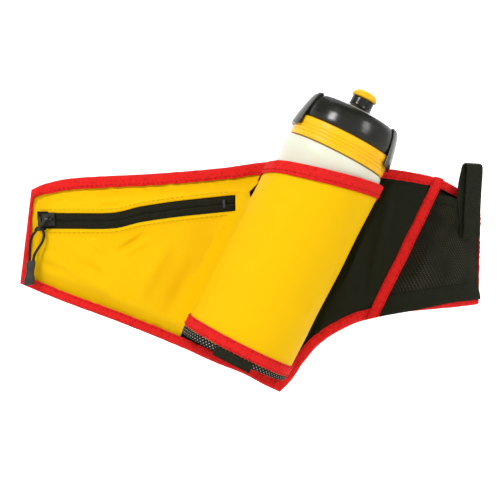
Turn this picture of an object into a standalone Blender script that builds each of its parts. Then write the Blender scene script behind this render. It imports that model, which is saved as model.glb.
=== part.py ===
"""Running waist pack: curved wings, a slanted bottle holster, a zip pocket, a mesh pocket and a belt.

The pack's layers are drawn flat, as a pattern maker would, in (s, z, d): s runs along the waist, z is up
and d is the height above the carrier fabric, towards the outside. wrap() bends that flat drawing round
the waist. The bottle and its holster are drawn upright in their own leaning frame.
World axes: +X to the right seen from outside, +Y towards the wearer, +Z up, from a point on the flat back
face of the lining.
"""
import math

import bmesh
import bpy
from mathutils import Matrix, Vector

MM = 0.001
GAP = 0.3 * MM

# Waist curve in plan: a flat middle, a left wing bent back once, a right wing on an arc
LEFT_BEND_START = 8 * MM
LEFT_BEND_RADIUS = 127 * MM
LEFT_WING_ANGLE = math.radians(9)
RIGHT_BEND_START = 90 * MM
RIGHT_BEND_RADIUS = 85 * MM

# Flat outline of the pack, in millimetres (s, z), from the left end to the right end
TOP_EDGE = [(-151, 136), (-141, 140), (-121, 143.6), (-67, 146), (-21, 149.3), (18, 153.5), (56, 152.5),
            (94, 148.5), (125, 143.5), (146, 136), (168, 128)]
BOTTOM_EDGE = [(-159, 71.5), (-132, 60.8), (-88, 45.2), (-45, 28.5), (-23, 19), (-5, 12.3), (11, 4), (20, 0),
               (28.5, 9), (34.6, 18.3), (46.5, 32), (60, 41), (75, 47.4), (108, 53.6), (166, 57)]
TIP_S = 20 * MM
TOP_STATIONS = 44
SIDE_STATIONS = 6

# Layers of the pack body, as heights above the carrier fabric's face
FABRIC = 1.0 * MM
LINING = (-5.0 * MM, -4.0 * MM)
FOAM = (-3.7 * MM, -1.3 * MM)
CARRIER = (-1.0 * MM, 0.0)
FRONT_EDGE = 0.5 * MM
BINDING_WIDTH = 7 * MM
BINDING_THICKNESS = 0.7 * MM
BINDING_BACK = LINING[0] - GAP - BINDING_THICKNESS
BINDING_FRONT = FRONT_EDGE + FABRIC + GAP + BINDING_THICKNESS
EDGE_INSET = BINDING_THICKNESS + 2 * GAP

# The finished pack's origin: a point on the lining's flat back face, just below the buckle
ORIGIN = Vector((22 * MM, -LINING[0], 76.5 * MM))

# Bottle and holster, in the leaning frame whose origin is the centre of the bottle's base
TILT = math.radians(27)
BOTTLE_BASE = Vector((-9.0, -36.5, 30.5)) * MM
BOTTLE_RADIUS = 33.5 * MM
BOTTLE_WALL = 1.5 * MM
BOTTLE_SHOULDER = 139.5 * MM
NECK_RADIUS = 28 * MM
NECK_TOP = 160 * MM
CAP_SPLIT = 153.3 * MM
CAP_TOP = 172.4 * MM
NOZZLE_RADIUS = 7.4 * MM
NOZZLE_TOP = 179.5 * MM
TIP_TOP = 184.8 * MM
SLEEVE_INNER = 35.0 * MM
SLEEVE_OUTER = 36.0 * MM
SLEEVE_TOP = 126 * MM
SLEEVE_TOP_SLANT = 8.5 * MM
SLEEVE_TRIM_END = 27 * MM
ROUND_SEGMENTS = 40
LEG_CLEARANCE = 1.7 * MM

# Zip in the left wing's pocket
ZIP_LEFT = (-144 * MM, 114.4 * MM)
ZIP_RIGHT = (-14 * MM, 125 * MM)
ZIP_TAPE_HALF = 5.8 * MM
ZIP_TAPE_INNER = 1.2 * MM
ZIP_COIL_HALF = 3.2 * MM
ZIP_END_GAP = 1.0 * MM
POCKET_DEPTH_LEFT = 4.5 * MM
POCKET_DEPTH_RIGHT = 10.5 * MM
SLIDER_LENGTH = 9 * MM
SLIDER_OFFSET = 7.5 * MM
BAR_HEIGHT = 4.9 * MM
LINK_LENGTH = 5 * MM
LINK_LEAN = 1.6
PULL_CORD_RADIUS = 0.9 * MM
PULL_CORD_END = -26.5 * MM
PULL_GRIP_END = -43 * MM
GRIP_TOP_U = -13.3 * MM
GRIP_FOOT_U = -16.3 * MM

# Tray edges: how far a pocket's face stays flat under the binding, and how soon it rises after that
FOOT = 6.6 * MM
RISE = 4.0 * MM

# Right wing: the slanting trim strip's centre line in flat (s, z), and the mesh pocket's mouth
STRIP_LOW = (82 * MM, 52.5 * MM)
STRIP_HIGH = (124.5 * MM, 139.5 * MM)
STRIP_HALF = 3.9 * MM
MESH_TOP = ((124 * MM, 126 * MM), (165.5 * MM, 114.5 * MM))
MESH_DEPTH = 9 * MM
HEM_HEIGHT = 5.5 * MM
HEM_LEAN = 3.2 * MM

# Belt, and the webbing loop sewn to the front of the right wing
STRAP_WIDTH = 25 * MM
STRAP_THICKNESS = 1.4 * MM
STRAP_Z = 100 * MM
STRAP_D = -8.2 * MM
BUCKLE_LEFT = 12 * MM
LOOP_SPAN = (138.3 * MM, 151.5 * MM)
LOOP_REAR = 8.8 * MM
LOOP_FRONT = 12.2 * MM
LOOP_LOW = 102.5 * MM
LOOP_CROWN = 150.8 * MM
LOOP_LEAN = 0.07
FEMALE_LENGTH = 30 * MM
MALE_LENGTH = 22 * MM


def clear_scene():
    for obj in list(bpy.data.objects):
        bpy.data.objects.remove(obj, do_unlink=True)


def material(name, colour, roughness, metallic=0.0):
    made = bpy.data.materials.new(name)
    made.use_nodes = True
    shader = made.node_tree.nodes["Principled BSDF"]
    shader.inputs["Base Color"].default_value = (*colour, 1.0)
    shader.inputs["Roughness"].default_value = roughness
    shader.inputs["Metallic"].default_value = metallic
    made.diffuse_color = (*colour, 1.0)
    return made


YELLOW = (0.93, 0.58, 0.01)
RED = (0.62, 0.02, 0.02)
BLACK = (0.016, 0.017, 0.014)
WHITE = (0.78, 0.78, 0.68)
STEEL = (0.10, 0.10, 0.09)


def finish(name, bm, colour, roughness, metallic=0.0, parent=None, smooth_angle=35):
    """Turn a bmesh into a named object with its own material, faces out, smooth but for its edges."""
    bmesh.ops.recalc_face_normals(bm, faces=bm.faces)
    mesh = bpy.data.meshes.new(name)
    bm.to_mesh(mesh)
    bm.free()
    mesh.shade_smooth()
    mesh.set_sharp_from_angle(angle=math.radians(smooth_angle))
    obj = bpy.data.objects.new(name, mesh)
    bpy.context.scene.collection.objects.link(obj)
    mesh.materials.append(material(name, colour, roughness, metallic))
    obj.parent = parent
    return obj


def through(points, x):
    """Height at x of the smooth curve through the points; x and the points are in metres."""
    last = len(points) - 2
    i = min(max(sum(1 for p in points if p[0] <= x) - 1, 0), last)
    (x0, y0), (x1, y1) = points[i], points[i + 1]

    def slope(k):
        if k == 0 or k == last + 1:
            j = min(k, last)
            return (points[j + 1][1] - points[j][1]) / (points[j + 1][0] - points[j][0])
        before = (points[k][1] - points[k - 1][1]) / (points[k][0] - points[k - 1][0])
        after = (points[k + 1][1] - points[k][1]) / (points[k + 1][0] - points[k][0])
        if before * after <= 0:
            return 0.0
        return 2 * before * after / (before + after)

    span = x1 - x0
    t = min(max((x - x0) / span, 0.0), 1.0)
    h00 = (1 + 2 * t) * (1 - t) ** 2
    h10 = t * (1 - t) ** 2
    h01 = t * t * (3 - 2 * t)
    h11 = t * t * (t - 1)
    return h00 * y0 + h10 * span * slope(i) + h01 * y1 + h11 * span * slope(i + 1)


TOP_CURVE = [(s * MM, z * MM) for s, z in TOP_EDGE]
BOTTOM_CURVE = [(s * MM, z * MM) for s, z in BOTTOM_EDGE]
TIP_INDEX = BOTTOM_EDGE.index((20, 0))
BOTTOM_LEFT = BOTTOM_CURVE[:TIP_INDEX + 1]
BOTTOM_RIGHT = BOTTOM_CURVE[TIP_INDEX:]


def top_z(s, inset=0.0):
    slope = (through(TOP_CURVE, s + MM) - through(TOP_CURVE, s - MM)) / (2 * MM)
    return through(TOP_CURVE, s) - inset * math.hypot(1, slope)


def bottom_z(s, inset=0.0):
    curve = BOTTOM_LEFT if s < TIP_S else BOTTOM_RIGHT
    slope = (through(curve, s + MM) - through(curve, s - MM)) / (2 * MM)
    return through(curve, s) + inset * math.hypot(1, slope)


def plan(s):
    """Plan position and heading of the waist curve at s; the heading turns towards the wearer."""
    if s > RIGHT_BEND_START:
        turn = (s - RIGHT_BEND_START) / RIGHT_BEND_RADIUS
        x = RIGHT_BEND_START + RIGHT_BEND_RADIUS * math.sin(turn)
        return x, RIGHT_BEND_RADIUS * (1 - math.cos(turn)), turn
    if s >= LEFT_BEND_START:
        return s, 0.0, 0.0
    turn = min((LEFT_BEND_START - s) / LEFT_BEND_RADIUS, LEFT_WING_ANGLE)
    straight = LEFT_BEND_START - s - turn * LEFT_BEND_RADIUS
    x = LEFT_BEND_START - LEFT_BEND_RADIUS * math.sin(turn) - straight * math.cos(turn)
    y = LEFT_BEND_RADIUS * (1 - math.cos(turn)) + straight * math.sin(turn)
    return x, y, -turn


def wrap(s, z, d):
    x, y, heading = plan(s)
    return Vector((x + d * math.sin(heading), y - d * math.cos(heading), z))


def mix(a, b, t):
    return a + (b - a) * t


def skin(bm, rows, closed_u=False, closed_v=False):
    """Add a grid of points as quads; rows is a list of equally long lists of points."""
    grid = [[bm.verts.new(p) for p in row] for row in rows]
    n = len(grid)
    m = len(grid[0])
    for i in range(n if closed_u else n - 1):
        for j in range(m if closed_v else m - 1):
            bm.faces.new((grid[i][j], grid[(i + 1) % n][j], grid[(i + 1) % n][(j + 1) % m],
                          grid[i][(j + 1) % m]))
    return grid


def sheet_solid(surface, columns, rows, holes=()):
    """A closed sheet: surface(a, b, side) gives its back (0) and front (1) points; holes are left out."""
    bm = bmesh.new()
    sides = []
    for side in (0, 1):
        sides.append([[bm.verts.new(surface(a, b, side)) for b in rows] for a in columns])
    cells = {(i, j) for i in range(len(columns) - 1) for j in range(len(rows) - 1)} - set(holes)
    for i, j in cells:
        for grid in sides:
            bm.faces.new((grid[i][j], grid[i + 1][j], grid[i + 1][j + 1], grid[i][j + 1]))
        edges = {(i - 1, j): ((i, j), (i, j + 1)), (i + 1, j): ((i + 1, j), (i + 1, j + 1)),
                 (i, j - 1): ((i, j), (i + 1, j)), (i, j + 1): ((i, j + 1), (i + 1, j + 1))}
        for beyond, ((i0, j0), (i1, j1)) in edges.items():
            if beyond not in cells:
                bm.faces.new((sides[0][i0][j0], sides[0][i1][j1], sides[1][i1][j1], sides[1][i0][j0]))
    loose = [v for v in bm.verts if not v.link_faces]
    bmesh.ops.delete(bm, geom=loose, context="VERTS")
    return bm


def even(count):
    return [i / count for i in range(count + 1)]


def swept(sections, closed=False):
    """A closed body through equally long section loops, capped unless the sweep closes on itself."""
    bm = bmesh.new()
    grid = skin(bm, sections, closed_u=closed, closed_v=True)
    if not closed:
        bm.faces.new(grid[0])
        bm.faces.new(grid[-1])
    return bm


def turned(profile, segments=ROUND_SEGMENTS):
    """Turn a profile of (radius, height) about the local Z axis. Ends on the axis are closed by fans."""
    bm = bmesh.new()
    solid = profile[0][0] == 0 and profile[-1][0] == 0
    ring_points = profile[1:-1] if solid else profile
    rings = []
    for k in range(segments):
        angle = math.tau * k / segments
        rings.append([Vector((r * math.cos(angle), r * math.sin(angle), h)) for r, h in ring_points])
    grid = skin(bm, rings, closed_u=True, closed_v=not solid)
    if solid:
        for end, (_, height) in ((0, profile[0]), (-1, profile[-1])):
            centre = bm.verts.new((0, 0, height))
            for k in range(segments):
                bm.faces.new((centre, grid[k][end], grid[(k + 1) % segments][end]))
    return bm


def prism(outline, place, low, high):
    """Extrude a flat outline of (u, v) between two heights; place(u, v, h) gives the world point."""
    return swept([[place(u, v, low) for u, v in outline], [place(u, v, high) for u, v in outline]])


def rounded_box(half_u, half_v, radius, steps=3):
    corners = [(half_u - radius, half_v - radius, 0), (radius - half_u, half_v - radius, 1),
               (radius - half_u, radius - half_v, 2), (half_u - radius, radius - half_v, 3)]
    outline = []
    for u, v, quarter in corners:
        for k in range(steps + 1):
            angle = math.pi / 2 * (quarter + k / steps)
            outline.append((u + radius * math.cos(angle), v + radius * math.sin(angle)))
    return outline


# ---------------------------------------------------------------- pack body

def body_layer(name, layer, inset, colour, roughness, columns=TOP_STATIONS, rows=4):
    """A whole-body layer: everything inside the outline, between two heights."""
    def surface(a, b, side):
        s_top = mix(TOP_CURVE[0][0] + inset, TOP_CURVE[-1][0] - inset, a)
        s_bottom = mix(BOTTOM_CURVE[0][0] + inset, BOTTOM_CURVE[-1][0] - inset, a)
        s = mix(s_bottom, s_top, b)
        z = mix(bottom_z(s_bottom, inset), top_z(s_top, inset), b)
        return wrap(s, z, layer[side])

    finish(name, sheet_solid(surface, even(columns), even(rows)), colour, roughness)


def outline_loop():
    """Corners and stations of the outline, anticlockwise seen from outside, in flat (s, z)."""
    bottom_left = [mix(BOTTOM_CURVE[0][0], TIP_S, t) for t in even(22)]
    bottom_right = [mix(TIP_S, BOTTOM_CURVE[-1][0], t ** 1.15) for t in even(16)][1:]
    loop = [(s, bottom_z(s)) for s in bottom_left[:-1]] + [(TIP_S, 0.0)]
    loop += [(s, bottom_z(s + 1e-9)) for s in bottom_right]
    right_low, right_high = BOTTOM_CURVE[-1], TOP_CURVE[-1]
    left_low, left_high = BOTTOM_CURVE[0], TOP_CURVE[0]
    side = even(SIDE_STATIONS)[1:-1]
    loop += [(mix(right_low[0], right_high[0], t), mix(right_low[1], right_high[1], t)) for t in side]
    loop += [(mix(right_high[0], left_high[0], t), top_z(mix(right_high[0], left_high[0], t)))
             for t in even(36)]
    loop += [(mix(left_high[0], left_low[0], t), mix(left_high[1], left_low[1], t)) for t in side]
    return [Vector(p) for p in loop]


def edge_binding():
    """The tape folded over the edge of every layer, a channel swept once round the outline."""
    loop = outline_loop()
    inner = BINDING_THICKNESS
    channel = [(0, BINDING_BACK), (0, BINDING_FRONT), (BINDING_WIDTH, BINDING_FRONT),
               (BINDING_WIDTH, BINDING_FRONT - inner), (inner, BINDING_FRONT - inner),
               (inner, BINDING_BACK + inner), (BINDING_WIDTH, BINDING_BACK + inner),
               (BINDING_WIDTH, BINDING_BACK)]
    sections = []
    for i, point in enumerate(loop):
        before = (point - loop[i - 1]).normalized()
        after = (loop[(i + 1) % len(loop)] - point).normalized()
        mitre = (before + after).normalized()
        inward = Vector((-mitre.y, mitre.x))
        reach = 1 / max(inward.dot(Vector((-before.y, before.x))), 0.5)
        flat = [(point + inward * e * reach, d) for e, d in channel]
        sections.append([wrap(p.x, p.y, d) for p, d in flat])
    finish("edge_binding", swept(sections, closed=True), RED, 0.8)


def sleeve_line(offset, z):
    """Flat s of the holster's long edge at height z, for an edge this far from the bottle's axis."""
    foot_x = BOTTLE_BASE.x + offset / math.cos(TILT)
    return foot_x + (z - BOTTLE_BASE.z) * math.tan(TILT)


SLEEVE_SEAM = SLEEVE_OUTER + 1.3 * MM


# ---------------------------------------------------------------- zip pocket

def zip_share(s):
    return (s - ZIP_LEFT[0]) / (ZIP_RIGHT[0] - ZIP_LEFT[0])


def pocket_plateau(s):
    """Height of the pocket's face over the carrier, deeper towards the holster."""
    return mix(POCKET_DEPTH_LEFT, POCKET_DEPTH_RIGHT, zip_share(s))


def zip_z(s):
    return mix(ZIP_LEFT[1], ZIP_RIGHT[1], zip_share(s))


def pocket_front():
    """The zip pocket's face: a shallow tray of fabric with a slot where the zip is sewn in."""
    low_rim = BOTTOM_CURVE[0][0] + EDGE_INSET
    top_rim = TOP_CURVE[0][0] + EDGE_INSET
    low_end = sleeve_line(-SLEEVE_SEAM, 33 * MM)
    top_end = sleeve_line(-SLEEVE_SEAM, 150 * MM)
    slot = [mix(ZIP_LEFT[0] - ZIP_END_GAP, ZIP_RIGHT[0] + ZIP_END_GAP, t) for t in even(8)]
    lows = [low_rim, low_rim + FOOT, *(mix(low_rim + 14 * MM, low_end - 9 * MM, t) for t in even(8)),
            low_end - 4 * MM, low_end]
    tops = [top_rim, top_rim + FOOT, *(mix(top_rim + 10 * MM, top_end - 9 * MM, t) for t in even(8)),
            top_end - 4 * MM, top_end]
    left_mid = mix(low_rim, top_rim, 0.74)
    right_mid = sleeve_line(-SLEEVE_SEAM, 125 * MM)
    mids = [left_mid, left_mid + FOOT, *slot, right_mid - 4 * MM, right_mid]
    half = ZIP_TAPE_HALF + GAP

    def surface(i, j, side):
        s_low, s_mid, s_top = lows[i], mids[i], tops[i]
        z_low = bottom_z(s_low, EDGE_INSET)
        z_top = top_z(s_top, EDGE_INSET)
        z_foot = z_low + FOOT * 1.2
        z_head = z_top - FOOT * 1.1
        z_mid = zip_z(s_mid)
        heights = [z_low, z_foot, z_foot + RISE, mix(z_foot + RISE, z_mid - half, 0.5), z_mid - half,
                   z_mid + half, z_head - RISE, z_head, z_top]
        z = heights[j]
        if i >= len(mids) - 2:
            s = sleeve_line(-SLEEVE_SEAM, z) - (0 if i == len(mids) - 1 else RISE)
        elif abs(z - z_mid) <= half + GAP:
            s = s_mid
        elif z < z_mid:
            s = mix(s_low, s_mid, (z - z_low) / (z_mid - z_low))
        else:
            s = mix(s_mid, s_top, (z - z_mid) / (z_top - z_mid))
        low = j in (0, 1, 7, 8) or i in (0, 1, len(mids) - 1)
        return wrap(s, z, (FRONT_EDGE if low else pocket_plateau(s)) + side * FABRIC)

    slot_cells = {(i, 4) for i in range(2, 10)}
    bm = sheet_solid(surface, range(len(mids)), range(9), holes=slot_cells)
    finish("pocket_front", bm, YELLOW, 0.7)


def zip_frame():
    """Origin and axes of the zip: along the track, across the tapes, and out of the pocket's face."""
    start = wrap(*ZIP_LEFT, POCKET_DEPTH_LEFT)
    end = wrap(*ZIP_RIGHT, POCKET_DEPTH_RIGHT)
    along = (end - start).normalized()
    out = wrap(*ZIP_LEFT, 1.0) - wrap(*ZIP_LEFT, 0.0)
    out = (out - along * out.dot(along)).normalized()
    return start, along, out.cross(along), out, (end - start).length


def zip_place(u, v, h):
    start, along, across, out, _ = zip_frame()
    return start + along * u + across * v + out * h


def zip_parts():
    """Both tapes, both rows of coil behind them, and the stops at their ends."""
    length = zip_frame()[4]
    for name, sign in (("upper", 1), ("lower", -1)):
        tape = strip_outline(0, length, sign * ZIP_TAPE_INNER, sign * ZIP_TAPE_HALF)
        finish(f"zip_tape_{name}", prism(tape, zip_place, 0.1 * MM, 0.8 * MM), BLACK, 0.6)
        coil = strip_outline(2 * MM, length - 2 * MM, sign * ZIP_TAPE_INNER, sign * ZIP_COIL_HALF)
        finish(f"zip_coil_{name}", prism(coil, zip_place, -1.7 * MM, -0.2 * MM), BLACK, 0.35)
    stop = rounded_box(0.8 * MM, 2.8 * MM, 0.5 * MM)
    for name, u in (("left", 1.2 * MM), ("right", length - 1.2 * MM)):
        outline = [(u + du, dv) for du, dv in stop]
        finish(f"zip_stop_{name}", prism(outline, zip_place, 1.1 * MM, 2.0 * MM), STEEL, 0.4, 0.9)


def strip_outline(u0, u1, v0, v1):
    return [(u0, v0), (u1, v0), (u1, v1), (u0, v1)]


def frame_at(name, location, rotation=None, parent=None):
    """An empty that carries a moving piece on its joint's axis."""
    frame = bpy.data.objects.new(name, None)
    bpy.context.scene.collection.objects.link(frame)
    frame.parent = parent
    turn = rotation.to_4x4() if rotation else Matrix()
    frame.matrix_local = Matrix.Translation(location) @ turn
    return frame


def joined(obj, bm, name):
    """Unite a helper solid with the object; the helper itself is left out of the build."""
    mesh = bpy.data.meshes.new(name)
    bmesh.ops.recalc_face_normals(bm, faces=bm.faces)
    bm.to_mesh(mesh)
    bm.free()
    helper = bpy.data.objects.new(name, mesh)
    bpy.context.scene.collection.objects.link(helper)
    helper.parent = obj.parent
    helper.hide_render = True
    helper.display_type = "WIRE"
    union = obj.modifiers.new(name, "BOOLEAN")
    union.operation = "UNION"
    union.object = helper


def zip_slider():
    """Slider: a front and a rear plate joined by a thin neck, with a bridge over the front plate."""
    start, along, across, out, _ = zip_frame()
    axes = Matrix((along, across, out)).transposed()
    frame = frame_at("zip_slider_frame", start + along * SLIDER_OFFSET, axes)
    half = SLIDER_LENGTH / 2
    neck, plate = 0.8 * MM, 4.2 * MM
    rear, front = (-3.4 * MM, -2.1 * MM), (1.2 * MM, 2.4 * MM)
    section = [(-plate, rear[0]), (plate, rear[0]), (plate, rear[1]), (neck, rear[1]), (neck, front[0]),
               (plate, front[0]), (plate, front[1]), (-plate, front[1]), (-plate, front[0]),
               (-neck, front[0]), (-neck, rear[1]), (-plate, rear[1])]
    body = swept([[Vector((u, v, h)) for v, h in section] for u in (-half, half)])
    slider = finish("zip_slider", body, STEEL, 0.4, 0.9, parent=frame)
    post, window, sunk = 3.5 * MM, 2.3 * MM, 1.9 * MM
    top, under = BAR_HEIGHT + 0.6 * MM, BAR_HEIGHT - 0.6 * MM
    arch = [(-post, sunk), (-window, sunk), (-window, under), (window, under), (window, sunk),
            (post, sunk), (post, top), (-post, top)]
    bridge = swept([[Vector((u, v, h)) for u, h in arch] for v in (-0.7 * MM, 0.7 * MM)])
    joined(slider, bridge, "zip_slider_bridge")
    return frame


def link_shift(v):
    """Sideways place of the pull's link at height v below the bar: it swings out to the left."""
    return -LINK_LEAN * max(0.0, min(-v, LINK_LENGTH) - 1.2 * MM)


def zip_pull(slider_frame):
    """Hanging pull: a flat link round the slider's bar, a cord through the link and a moulded grip."""
    frame = frame_at("zip_pull_frame", (0, 0, BAR_HEIGHT), parent=slider_frame)
    inner, outer, half_width = 1.5 * MM, 2.15 * MM, 1.3 * MM
    link = []
    for k in range(20):
        angle = math.tau * (k + 0.5) / 20
        drop = 0 if math.sin(angle) > 0 else -LINK_LENGTH
        ring = [(u, drop + r * math.sin(angle), r * math.cos(angle))
                for u, r in ((-half_width, inner), (half_width, inner), (half_width, outer),
                             (-half_width, outer))]
        link.append([Vector((u + link_shift(v), v, h)) for u, v, h in ring])
    finish("pull_link", swept(link, closed=True), STEEL, 0.4, 0.9, parent=frame)
    pull_cord(frame)
    top, bottom = PULL_CORD_END - GAP, PULL_GRIP_END
    waist = [(2.6, 0.0), (3.2, 0.12), (3.7, 0.4), (3.7, 0.85), (3.2, 1.0)]
    sections = []
    for half, t in waist:
        v = mix(top, bottom, t)
        middle = mix(GRIP_TOP_U, GRIP_FOOT_U, t)
        outline = rounded_box(half * MM, 0.58 * half * MM, 0.5 * half * MM)
        sections.append([Vector((middle + u, v, h)) for u, h in outline])
    finish("pull_grip", swept(sections), BLACK, 0.5, parent=frame)


def smooth_route(points, steps=4):
    """Points along the smooth curve that passes through the given ones."""
    made = []
    for i in range(len(points) - 1):
        before, a, b = points[max(i - 1, 0)], points[i], points[i + 1]
        after = points[min(i + 2, len(points) - 1)]
        for k in range(steps):
            t = k / steps
            made.append(a * (2 * t ** 3 - 3 * t * t + 1) + (b - before) / 2 * (t ** 3 - 2 * t * t + t)
                        + b * (3 * t * t - 2 * t ** 3) + (after - a) / 2 * (t ** 3 - t * t))
    return made + [points[-1]]


def pull_cord(frame):
    """The cord's loop: up from the grip, through the link and back down, as one open tube."""
    bend = 2.7 * MM
    crown = -LINK_LENGTH - bend + 0.4 * MM
    middle = link_shift(-LINK_LENGTH)
    left = [(-14.6, -26.5), (-14.1, -22.5), (-13.6, -18), (-12.8, -13.5), (-11.2, -10)]
    right = [(-2.9, -10.4), (-4.4, -14.5), (-7.6, -18.5), (-10.6, -22.5), (-12.0, -26.5)]
    route = [Vector((u * MM, v * MM, 0)) for u, v in left]
    route += [Vector((middle - bend * math.cos(math.pi * t), crown + bend * math.sin(math.pi * t), 0))
              for t in even(6)]
    route += [Vector((u * MM, v * MM, 0)) for u, v in right]
    curve = bpy.data.curves.new("pull_cord", "CURVE")
    curve.dimensions = "3D"
    spline = curve.splines.new("POLY")
    line = smooth_route(route)
    spline.points.add(len(line) - 1)
    for point, place in zip(spline.points, line):
        point.co = (*place, 1)
    curve.bevel_depth = PULL_CORD_RADIUS
    curve.bevel_resolution = 2
    curve.use_fill_caps = True
    curve.materials.append(material("pull_cord", (0.08, 0.08, 0.07), 0.8))
    cord = bpy.data.objects.new("pull_cord", curve)
    bpy.context.scene.collection.objects.link(cord)
    cord.parent = frame


# ---------------------------------------------------------------- right wing

def strip_line(z, offset=0.0):
    """Flat s of the slanting trim strip's centre line at height z, moved sideways by the offset."""
    share = (z - STRIP_LOW[1]) / (STRIP_HIGH[1] - STRIP_LOW[1])
    return mix(STRIP_LOW[0], STRIP_HIGH[0], share) + offset


def strip_ends(offset=0.0, inset=0.0):
    """Flat (s, z) where the strip's line, moved sideways, meets the pack's lower and upper edges."""
    s_low, s_top = strip_line(STRIP_LOW[1], offset), strip_line(STRIP_HIGH[1], offset)
    for _ in range(4):
        s_low = strip_line(bottom_z(s_low, inset), offset)
        s_top = strip_line(top_z(s_top, inset), offset)
    return (s_low, bottom_z(s_low, inset)), (s_top, top_z(s_top, inset))


def side_panel():
    """Black panel between the holster's right seam and the slanting trim strip."""
    low_end, top_end = strip_ends(STRIP_HALF - GAP, EDGE_INSET)

    def surface(a, b, side):
        s_low = mix(sleeve_line(SLEEVE_SEAM, 27 * MM), low_end[0], a)
        s_top = mix(sleeve_line(SLEEVE_SEAM, 148 * MM), top_end[0], a)
        z = mix(bottom_z(s_low, EDGE_INSET), top_z(s_top, EDGE_INSET), b)
        return wrap(mix(s_low, s_top, b), z, FRONT_EDGE + side * FABRIC)

    finish("side_panel", sheet_solid(surface, even(10), even(5)), BLACK, 0.75)


def trim_strip():
    """Red tape over the seam between the side panel and the mesh pocket."""
    low_end, top_end = strip_ends()

    def surface(a, b, side):
        z = mix(low_end[1] + 1.5 * MM, top_end[1] - 1.5 * MM, b)
        s = strip_line(z, mix(-STRIP_HALF, STRIP_HALF, a))
        return wrap(s, z, BINDING_FRONT + GAP + side * 0.8 * MM)

    finish("trim_strip", sheet_solid(surface, even(2), even(10)), RED, 0.8)


def mesh_columns():
    """The mesh pocket's columns: flat (s, z) of both ends, and how far each stands off, from 0 to 1."""
    low_start = strip_ends(STRIP_HALF + GAP, EDGE_INSET)[0][0]
    low_end = BOTTOM_CURVE[-1][0] - EDGE_INSET
    top_start, top_end = strip_line(MESH_TOP[0][1], STRIP_HALF + GAP), MESH_TOP[1][0]
    places = [(0, 0), (0.1, 0.55), (0.22, 0.8), (0.36, 0.8), (0.5, 0.72), (0.64, 0.64), (0.78, 0.52),
              (0.89, 0.35), (1, 0)]
    columns = []
    for share, height in places:
        s_low = mix(low_start, low_end - FOOT, share)
        s_top = mix(top_start, top_end - FOOT, share)
        columns.append((s_low, s_top, height))
    columns.append((low_end, top_end, 0))
    return [(s_low, bottom_z(s_low, EDGE_INSET), s_top, mesh_top_z(s_top), height)
            for s_low, s_top, height in columns]


def mesh_top_z(s):
    share = (s - MESH_TOP[0][0]) / (MESH_TOP[1][0] - MESH_TOP[0][0])
    return mix(MESH_TOP[0][1], MESH_TOP[1][1], share)


def mesh_pocket():
    """Open-topped mesh pocket that stands off the wing, and the elastic hem along its mouth."""
    columns = mesh_columns()
    fills = [0, 0, 0.75, 1.0, 0.9, 0.8]

    def surface(i, j, side):
        s_low, z_low, s_top, z_top, height = columns[i]
        shares = [0, FOOT * 1.15 / (z_top - z_low), 0.28, 0.55, 0.8, 1]
        d = FRONT_EDGE + MESH_DEPTH * height * fills[j]
        return wrap(mix(s_low, s_top, shares[j]), mix(z_low, z_top, shares[j]), d + side * FABRIC)

    bm = sheet_solid(surface, range(len(columns)), range(6))
    finish("mesh_pocket", bm, (0.03, 0.03, 0.025), 0.85)

    def hem(i, j, side):
        _, _, s_top, z_top, height = columns[i]
        d = FRONT_EDGE + MESH_DEPTH * height * fills[-1]
        lean = HEM_LEAN if i == 0 else 0.0
        return wrap(s_top + lean * (j + 0.2), z_top + GAP + j * HEM_HEIGHT, d + side * FABRIC)

    finish("mesh_pocket_hem", sheet_solid(hem, range(len(columns) - 1), range(2)), BLACK, 0.8)


# ---------------------------------------------------------------- holster

def bottle_frame():
    return frame_at("bottle_frame", BOTTLE_BASE, Matrix.Rotation(TILT, 3, "Y"))


def sleeve_path(rear, arc_steps=20):
    """Stations round the holster: (side, turn, leg) from the left leg's rear end to the right one's."""
    legs = [rear, rear * 0.5]
    stations = [(-1, -90.0, leg) for leg in legs]
    stations += [(0, -90 + 180 * t, 0.0) for t in even(arc_steps)]
    stations += [(1, 90.0, leg) for leg in reversed(legs)]
    return stations


def sleeve_point(station, radius, height):
    side, turn, leg = station
    angle = math.radians(turn)
    return Vector((radius * math.sin(angle), leg - radius * math.cos(angle) * (side == 0), height))


def sleeve_top(station):
    """Height of the holster's slanting mouth; its left leg drops to pass under the pack's binding."""
    side, turn, leg = station
    height = SLEEVE_TOP + SLEEVE_TOP_SLANT * math.sin(math.radians(turn))
    return height - (0.26 * leg if side < 0 else 0.1 * leg)


def panel_y(x):
    """World Y of the carrier fabric's face at this world X."""
    return plan(x)[1]


def holster_sleeve(frame):
    """The fabric sleeve: a half tube with two straight legs that reach back to the carrier."""
    def loop(station):
        side, _, leg = station
        low = 24 * MM if side > 0 and leg > 20 * MM else 0.0
        top = sleeve_top(station)
        points = []
        for radius, height in ((SLEEVE_INNER, low), (SLEEVE_OUTER, low), (SLEEVE_OUTER, top),
                               (SLEEVE_INNER, top)):
            point = sleeve_point(station, radius, height)
            if side and leg > 20 * MM:
                world_x = BOTTLE_BASE.x + point.x * math.cos(TILT) + point.z * math.sin(TILT)
                point.y = panel_y(world_x) - BOTTLE_BASE.y - (LEG_CLEARANCE if side < 0 else 2 * GAP)
            points.append(point)
        return points

    bm = swept([loop(station) for station in sleeve_path(34 * MM)])
    finish("holster_sleeve", bm, YELLOW, 0.6, parent=frame)


def sleeve_band(name, frame, section, colour, roughness, stations):
    """A band round the holster; section(station) gives its loop of (radius, height)."""
    loops = [[sleeve_point(station, r, h) for r, h in section(station)] for station in stations]
    finish(name, swept(loops), colour, roughness, parent=frame)


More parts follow.
